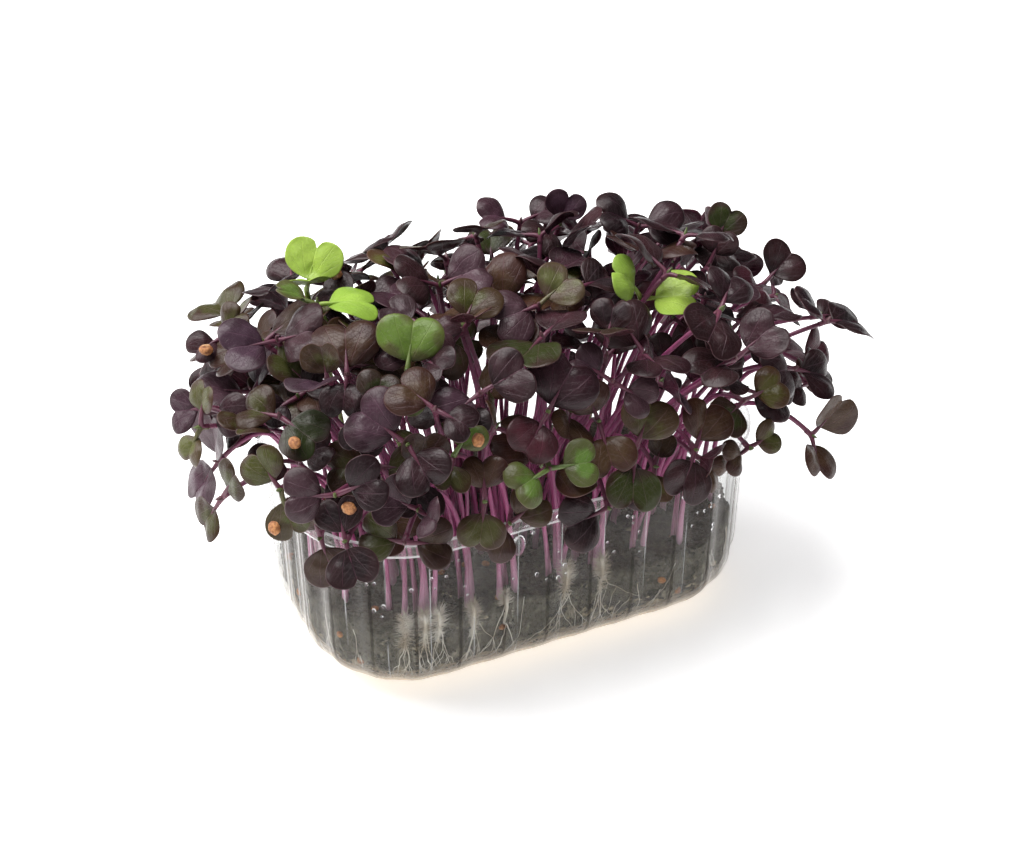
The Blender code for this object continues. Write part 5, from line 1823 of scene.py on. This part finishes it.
class MICROGREENS_OT_medium(bpy.types.Operator):
    """Adds the growing medium with its crumbs and the husks in it"""

    bl_idname = "microgreens.medium"
    bl_label = "Growing medium"

    def execute(self, context):
        settings = settings_of("medium")
        body = self.block(settings)
        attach(body, "root")
        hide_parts("growing_medium")
        crumb = ("GeometryNodeMeshIcoSphere", {"Radius": 1.0, "Subdivisions": 1})
        husk = ("GeometryNodeMeshUVSphere", {"Radius": 1.0, "Segments": 8, "Rings": 6})
        for title, slot, shape, density, size, least, seed, shade in (
            ("crumbs", "growing_medium", crumb, settings.crumbs, settings.crumb_size, 0.30, 3,
             finish("crumb", crumb_finish)),
            ("husks_in_medium", "seed_husk", husk, settings.husks, settings.husk_size, 0.75, 11,
             finish("seed husk", husk_finish)),
        ):
            mesh = run_tree(scatter_tree(title, *shape, tilt=0.5, flat=0.7), body, {
                "Density": density, "Size": size, "Least Share": least, "Seed": seed, "Material": shade,
            }, title)
            piece = shown(title, mesh)
            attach(piece, "root")
        return {"FINISHED"}

    def block(self, settings):
        """The medium, shaped to the inside of the tray, crumbly on its top and sides."""
        sides = 300
        outline = np.array(rim_outline(sides))
        wave = FLUTE_DEPTH * np.cos(2 * math.pi * FLUTES * np.arange(sides) / sides)
        gap = WALL + FIT_GAP + 0.00035
        rings = []
        for step in range(9):
            angle = math.pi / 2 * step / 8
            z = BASE_FILLET * (1 - math.cos(angle))
            inset, share = wall_inset(z)
            rings.append((z + gap * math.cos(angle), inset + gap * math.sin(angle), share))
        for z in np.linspace(BASE_FILLET, SOIL_TOP - 0.0003, 9)[1:]:
            rings.append((z, wall_inset(z)[0] + gap, 1.0))
        bm = bmesh.new()
        loops = []
        for z, inset, share in rings:
            loop = []
            for i in range(sides):
                x, y, nx, ny = outline[i]
                spot = Vector((x, y, z)) * 380
                dent = 0.0009 * abs(noise.noise(spot)) + 0.0004 * abs(noise.noise(spot * 2.7))
                move = wave[i] * share - inset - dent
                top = min(1.0, max(0.0, (z - 0.018) / 0.006))
                level = z * (1 - top) + top * (soil_height(x, y) + z - SOIL_TOP)
                loop.append(bm.verts.new((x + move * nx, y + move * ny, level)))
            loops.append(loop)
        edges = [vert.co.copy() for vert in loops[-1]]
        # The top: the outermost loop drawn in towards the tray's long middle line.
        for share in (0.03, 0.08, 0.15, 0.24, 0.34, 0.45, 0.57, 0.70, 0.84, 1.0):
            loop = []
            for edge in edges:
                spine = max(-0.026, min(0.026, edge.x))
                x = edge.x + (spine - edge.x) * share
                y = edge.y * (1 - share * 0.985)
                spot = Vector((x, y, 0)) * 420
                lump = 0.0007 * noise.noise(spot) + 0.0004 * noise.noise(spot * 2.9)
                loop.append(bm.verts.new((x, y, soil_height(x, y) + lump)))
            loops.append(loop)
        for low, high in zip(loops, loops[1:]):
            for i in range(sides):
                nxt = (i + 1) % sides
                bm.faces.new((low[i], low[nxt], high[nxt], high[i]))
        bm.faces.new(loops[-1])
        bm.faces.new(loops[0][::-1])
        bmesh.ops.remove_doubles(bm, verts=bm.verts, dist=0.00001)
        bmesh.ops.recalc_face_normals(bm, faces=bm.faces)
        mesh = bpy.data.meshes.new("medium")
        bm.to_mesh(mesh)
        bm.free()
        mesh.shade_smooth()
        mesh.materials.append(finish("growing medium", medium_finish, settings))
        return shown("medium", mesh)


class MICROGREENS_OT_roots(bpy.types.Operator):
    """Adds the roots that run down inside the wall, the root collars and their fuzz of root hairs"""

    bl_idname = "microgreens.roots"
    bl_label = "Roots"

    def execute(self, context):
        settings = settings_of("medium")
        rng = random.Random(21)
        wall = WallMap()
        depth = WALL + 0.00045
        roots, collars = Shell(), Shell()
        starts = [(wall.around_at(x / 1000), z / 1000, True) for x, z in COLLARS]
        while len(starts) < settings.roots:
            starts.append((rng.uniform(0, wall.length), rng.uniform(0.012, 0.025), False))
        for around, z, collar in starts:
            if not collar:
                self.root(roots, wall, rng, around, z, depth, rng.uniform(0.00007, 0.00014), 2)
                continue
            path = [
                wall.place(around + 0.0004 * math.sin(k), z + 0.0010 - 0.0022 * k, depth + 0.0006)
                for k in range(len(COLLAR_RADII))
            ]
            collars.tube(path, COLLAR_RADII, 8, 0, (0.8, 0.8, 0.7))
            for _ in range(3):
                start = z - rng.uniform(0.002, 0.009)
                aside = rng.uniform(-0.0004, 0.0004)
                self.root(roots, wall, rng, around + aside, start, depth, rng.uniform(0.00010, 0.00018), 2)
        root = finish("root", root_finish)
        strands = roots.object("roots", [root])
        core = collars.object("root_collars", [root])
        hair = {"Vertices": 3, "Radius Top": 0.0, "Radius Bottom": 0.03, "Depth": 1.0}
        mesh = run_tree(scatter_tree("root hairs", "GeometryNodeMeshCone", hair, tilt=0.6), core, {
            "Density": settings.hairs, "Size": settings.hair_length, "Least Share": 0.3, "Seed": 5,
            "Material": root,
        }, "root_hairs")
        self.keep_inside(mesh)
        hairs = shown("root_hairs", mesh)
        for piece in (strands, core, hairs):
            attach(piece, "root")
        return {"FINISHED"}

    def root(self, shell, wall, rng, around, z, depth, radius, forks):
        """One root that wanders down the inside of the wall, with a few side roots."""
        steps = rng.randint(9, 16)
        lean = rng.uniform(-0.0006, 0.0006)
        path, at, height = [], around, z
        for k in range(steps):
            path.append(wall.place(at, max(height, 0.0012), depth + radius))
            lean += rng.uniform(-0.0004, 0.0004)
            at += lean
            height -= rng.uniform(0.0006, 0.0024)
            if forks and k > 1 and rng.random() < 0.20:
                self.root(shell, wall, rng, at, height, depth, radius * 0.6, forks - 1)
        radii = np.linspace(radius, radius * 0.35, steps)
        shell.tube(smooth_path(path, steps * 2), np.repeat(radii, 2), 5, 0, (0.8, 0.75, 0.6))

    def keep_inside(self, mesh):
        """Draws back whatever pokes through the inside of the front wall."""
        front = -TRAY_WIDTH / 2 + RIM_STEP + TRAY_TAPER + WALL + FLUTE_DEPTH + 0.0001
        for vert in mesh.vertices:
            if vert.co.y < front:
                vert.co.y = front


class MICROGREENS_OT_seedlings(bpy.types.Operator):
    """Adds the seedlings, one piece for each tuft and each pale seedling of the model"""

    bl_idname = "microgreens.seedlings"
    bl_label = "Seedlings"

    def execute(self, context):
        settings = settings_of("seedlings")
        placed, tufts, _, extra = grown()
        materials = [
            finish("seed leaf", leaf_finish), finish("stem", stem_finish),
            finish("growing medium", medium_finish, settings_of("medium")),
        ]
        groups = [
            ("pale", number, f"pale_seedling_{number + 1}", root, LONE_PLUG_RADIUS, "pale_leaf")
            for number, (root, _) in enumerate(PALE_SEEDLINGS)
        ]
        for number, centre in enumerate(tufts):
            slot = "olive_leaf" if number % 4 == 1 else "purple_leaf"
            groups.append(("tuft", number, f"tuft_{number + 1:02d}", centre, PLUG_RADIUS, slot))
        for kind, number, node, centre, radius, slot in groups:
            plants = [p for p, tuft, sort in placed if sort == kind and tuft == number]
            if not plants:
                continue
            if node not in frame["nodes"]:
                raise RuntimeError(f"the model has no node {node}")
            rng = random.Random(node)
            shell = Shell()
            grow_plug(shell, centre, radius)
            for plant in plants:
                grow_seedling(shell, plant, kind, settings, rng)
            piece = shell.object(node + "_plants", materials)
            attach(piece, "root")
            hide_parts(node)
        # The seedlings between them, grouped along the tray.
        extra = sorted(extra, key=lambda plant: plant.root.x)
        for start in range(0, len(extra), SEEDLINGS_TO_A_PIECE):
            name = f"seedlings_between_{start // SEEDLINGS_TO_A_PIECE + 1}"
            rng, shell = random.Random(name), Shell()
            for plant in extra[start:start + SEEDLINGS_TO_A_PIECE]:
                grow_seedling(shell, plant, "between", settings, rng)
            piece = shell.object(name, materials[:2])
            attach(piece, "root")
        return {"FINISHED"}


class MICROGREENS_OT_husks(bpy.types.Operator):
    """Adds the seed husks that lie on the leaves"""

    bl_idname = "microgreens.husks"
    bl_label = "Seed husks"

    def execute(self, context):
        _, _, husks, _ = grown()
        for number, (place, turn) in enumerate(husks):
            bm = bmesh.new()
            made = bmesh.ops.create_uvsphere(bm, u_segments=28, v_segments=18, radius=1.0)
            for vert in made["verts"]:
                spot = vert.co.copy()
                fold = 0.10 * noise.noise(spot * 1.6 + Vector((number * 7, 0, 0)))
                fold += 0.04 * noise.noise(spot * 5 + Vector((0, number, 0)))
                # A dent along one side, where the husk split round the seed.
                split = math.exp(-((spot.y / 0.16) ** 2)) * max(0.0, spot.z) * max(0.0, 1 - abs(spot.x) * 1.2)
                vert.co = spot * (0.98 + fold - 0.30 * split)
            frame_of = Matrix.Translation(place) @ turn @ Matrix.Diagonal((*HUSK_RADII, 1.0))
            bmesh.ops.transform(bm, matrix=frame_of, verts=bm.verts)
            bmesh.ops.recalc_face_normals(bm, faces=bm.faces)
            mesh = bpy.data.meshes.new(f"husk_{number + 1}")
            bm.to_mesh(mesh)
            bm.free()
            mesh.shade_smooth()
            mesh.materials.append(finish("seed husk", husk_finish))
            piece = shown(f"husk_{number + 1}", mesh)
            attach(piece, "root")
            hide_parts(f"seed_husk_{number + 1}")
        return {"FINISHED"}


class MICROGREENS_OT_droplets(bpy.types.Operator):
    """Adds the water droplets on the wall and the rim"""

    bl_idname = "microgreens.droplets"
    bl_label = "Droplets"

    def execute(self, context):
        rng = random.Random(4)
        wall = WallMap()
        shell = Shell()
        spots = [(-14.2, 0.0437, 0.0019, 1.5)]
        for amount, xs, heights, sizes, tall in DROPLETS:
            for _ in range(amount):
                spots.append((rng.uniform(*xs), rng.uniform(*heights), rng.uniform(*sizes), tall))
        rim_depth = -wall_inset(TRAY_HEIGHT - RIM_BAND)[0]
        for x, z, size, tall in spots:
            around = wall.around_at(x / 1000)
            on_rim = z > TRAY_HEIGHT - RIM_BAND
            depth = rim_depth if on_rim else 0.0
            centre = np.array(wall.place(around, z, depth if on_rim else -0.0001))
            out = centre - np.array(wall.place(around, z, depth + 0.001))
            out[2] = 0
            out /= np.linalg.norm(out)
            across = np.cross(out, (0, 0, 1.0))
            rings = []
            for k in range(9):
                angle = math.pi * k / 8
                turn = np.arange(14) / 14 * 2 * math.pi
                ring = centre + np.outer(np.full(14, 0.52 * math.cos(angle) * size), out)
                drop = np.sin(turn) * tall * (1 + 0.25 * (np.sin(turn) < 0))
                circle = np.outer(np.cos(turn), across) + np.outer(drop, (0, 0, 1.0))
                rings.append(ring + size * math.sin(angle) * circle)
            shell.loft(rings, 0, (1.0, 1.0, 1.0))
        piece = shell.object("droplets", [finish("water", water_finish)])
        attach(piece, "root")
        return {"FINISHED"}


class MICROGREENS_OT_stage(bpy.types.Operator):
    """Adds the floor, the lights and the camera"""

    bl_idname = "microgreens.stage"
    bl_label = "Stage"

    def execute(self, context):
        settings = settings_of("stage")
        scene = context.scene
        mesh = bpy.data.meshes.new("floor")
        corners = [(x * FLOOR_REACH, y * FLOOR_REACH, FLOOR_LEVEL) for x, y in FLOOR_CORNERS]
        mesh.from_pydata(corners, [], [(0, 1, 2, 3)])
        mesh.materials.append(finish("floor", floor_finish, settings))
        shown("floor", mesh)
        world = bpy.data.worlds.new("studio")
        scene.world = world
        world.use_nodes = True
        world.node_tree.nodes.clear()
        n = Nodes(world.node_tree)
        sky = n.node("ShaderNodeBackground", None, {"Color": (0.96, 0.97, 1.0), "Strength": settings.sky})
        n.node("ShaderNodeOutputWorld", None, {"Surface": sky.outputs[0]})
        for name, power, size, place in (
            ("overhead", settings.overhead, 1.1, (-0.30, 0.25, 1.45)),
            ("key", settings.key, 0.8, (-0.70, 0.62, 0.70)),
            ("fill", settings.fill, 1.2, (-0.65, -1.10, 0.75)),
        ):
            lamp = bpy.data.lights.new(name, "AREA")
            lamp.shape = "SQUARE"
            lamp.size = size
            lamp.energy = power
            made = bpy.data.objects.new(name, lamp)
            made.location = place
            made.rotation_euler = (Vector((0, 0, 0.05)) - Vector(place)).to_track_quat("-Z", "Y").to_euler()
            scene.collection.objects.link(made)
        camera = bpy.data.cameras.new("camera")
        camera.lens = settings.lens
        camera.sensor_width = SENSOR
        camera.clip_start = 0.01
        camera.clip_end = 50.0
        made = bpy.data.objects.new("camera", camera)
        made.location = CAMERA
        made.rotation_euler = Matrix(camera_axes()).transposed().to_euler()
        scene.collection.objects.link(made)
        scene.camera = made
        scene.view_settings.view_transform = "Standard"
        return {"FINISHED"}


class MICROGREENS_PT_panel(bpy.types.Panel):
    """Lists the operators and the settings"""

    bl_idname = "MICROGREENS_PT_panel"
    bl_label = "Radish microgreens"
    bl_space_type = "VIEW_3D"
    bl_region_type = "UI"
    bl_category = "Microgreens"

    def draw(self, context):
        for operator in OPERATORS:
            self.layout.operator(operator.bl_idname)
        for title, group in SETTINGS.items():
            box = self.layout.box()
            box.label(text=title.capitalize())
            for name in group.__annotations__:
                box.prop(getattr(context.scene, "microgreens_" + title), name)


SETTINGS = {
    "tray": TraySettings,
    "medium": MediumSettings,
    "seedlings": SeedlingSettings,
    "stage": StageSettings,
}
OPERATORS = (
    MICROGREENS_OT_stage, MICROGREENS_OT_tray, MICROGREENS_OT_medium, MICROGREENS_OT_roots,
    MICROGREENS_OT_seedlings, MICROGREENS_OT_husks, MICROGREENS_OT_droplets,
)
CLASSES = (*SETTINGS.values(), *OPERATORS, MICROGREENS_PT_panel)


def register():
    for made in CLASSES:
        bpy.utils.register_class(made)
    for title, group in SETTINGS.items():
        setattr(bpy.types.Scene, "microgreens_" + title, bpy.props.PointerProperty(type=group))


def unregister():
    for title in SETTINGS:
        delattr(bpy.types.Scene, "microgreens_" + title)
    for made in reversed(CLASSES):
        bpy.utils.unregister_class(made)


def main():
    register()
    for operator in OPERATORS:
        getattr(bpy.ops.microgreens, operator.bl_idname.split(".")[1])()


if __name__ == "__main__":
    main()
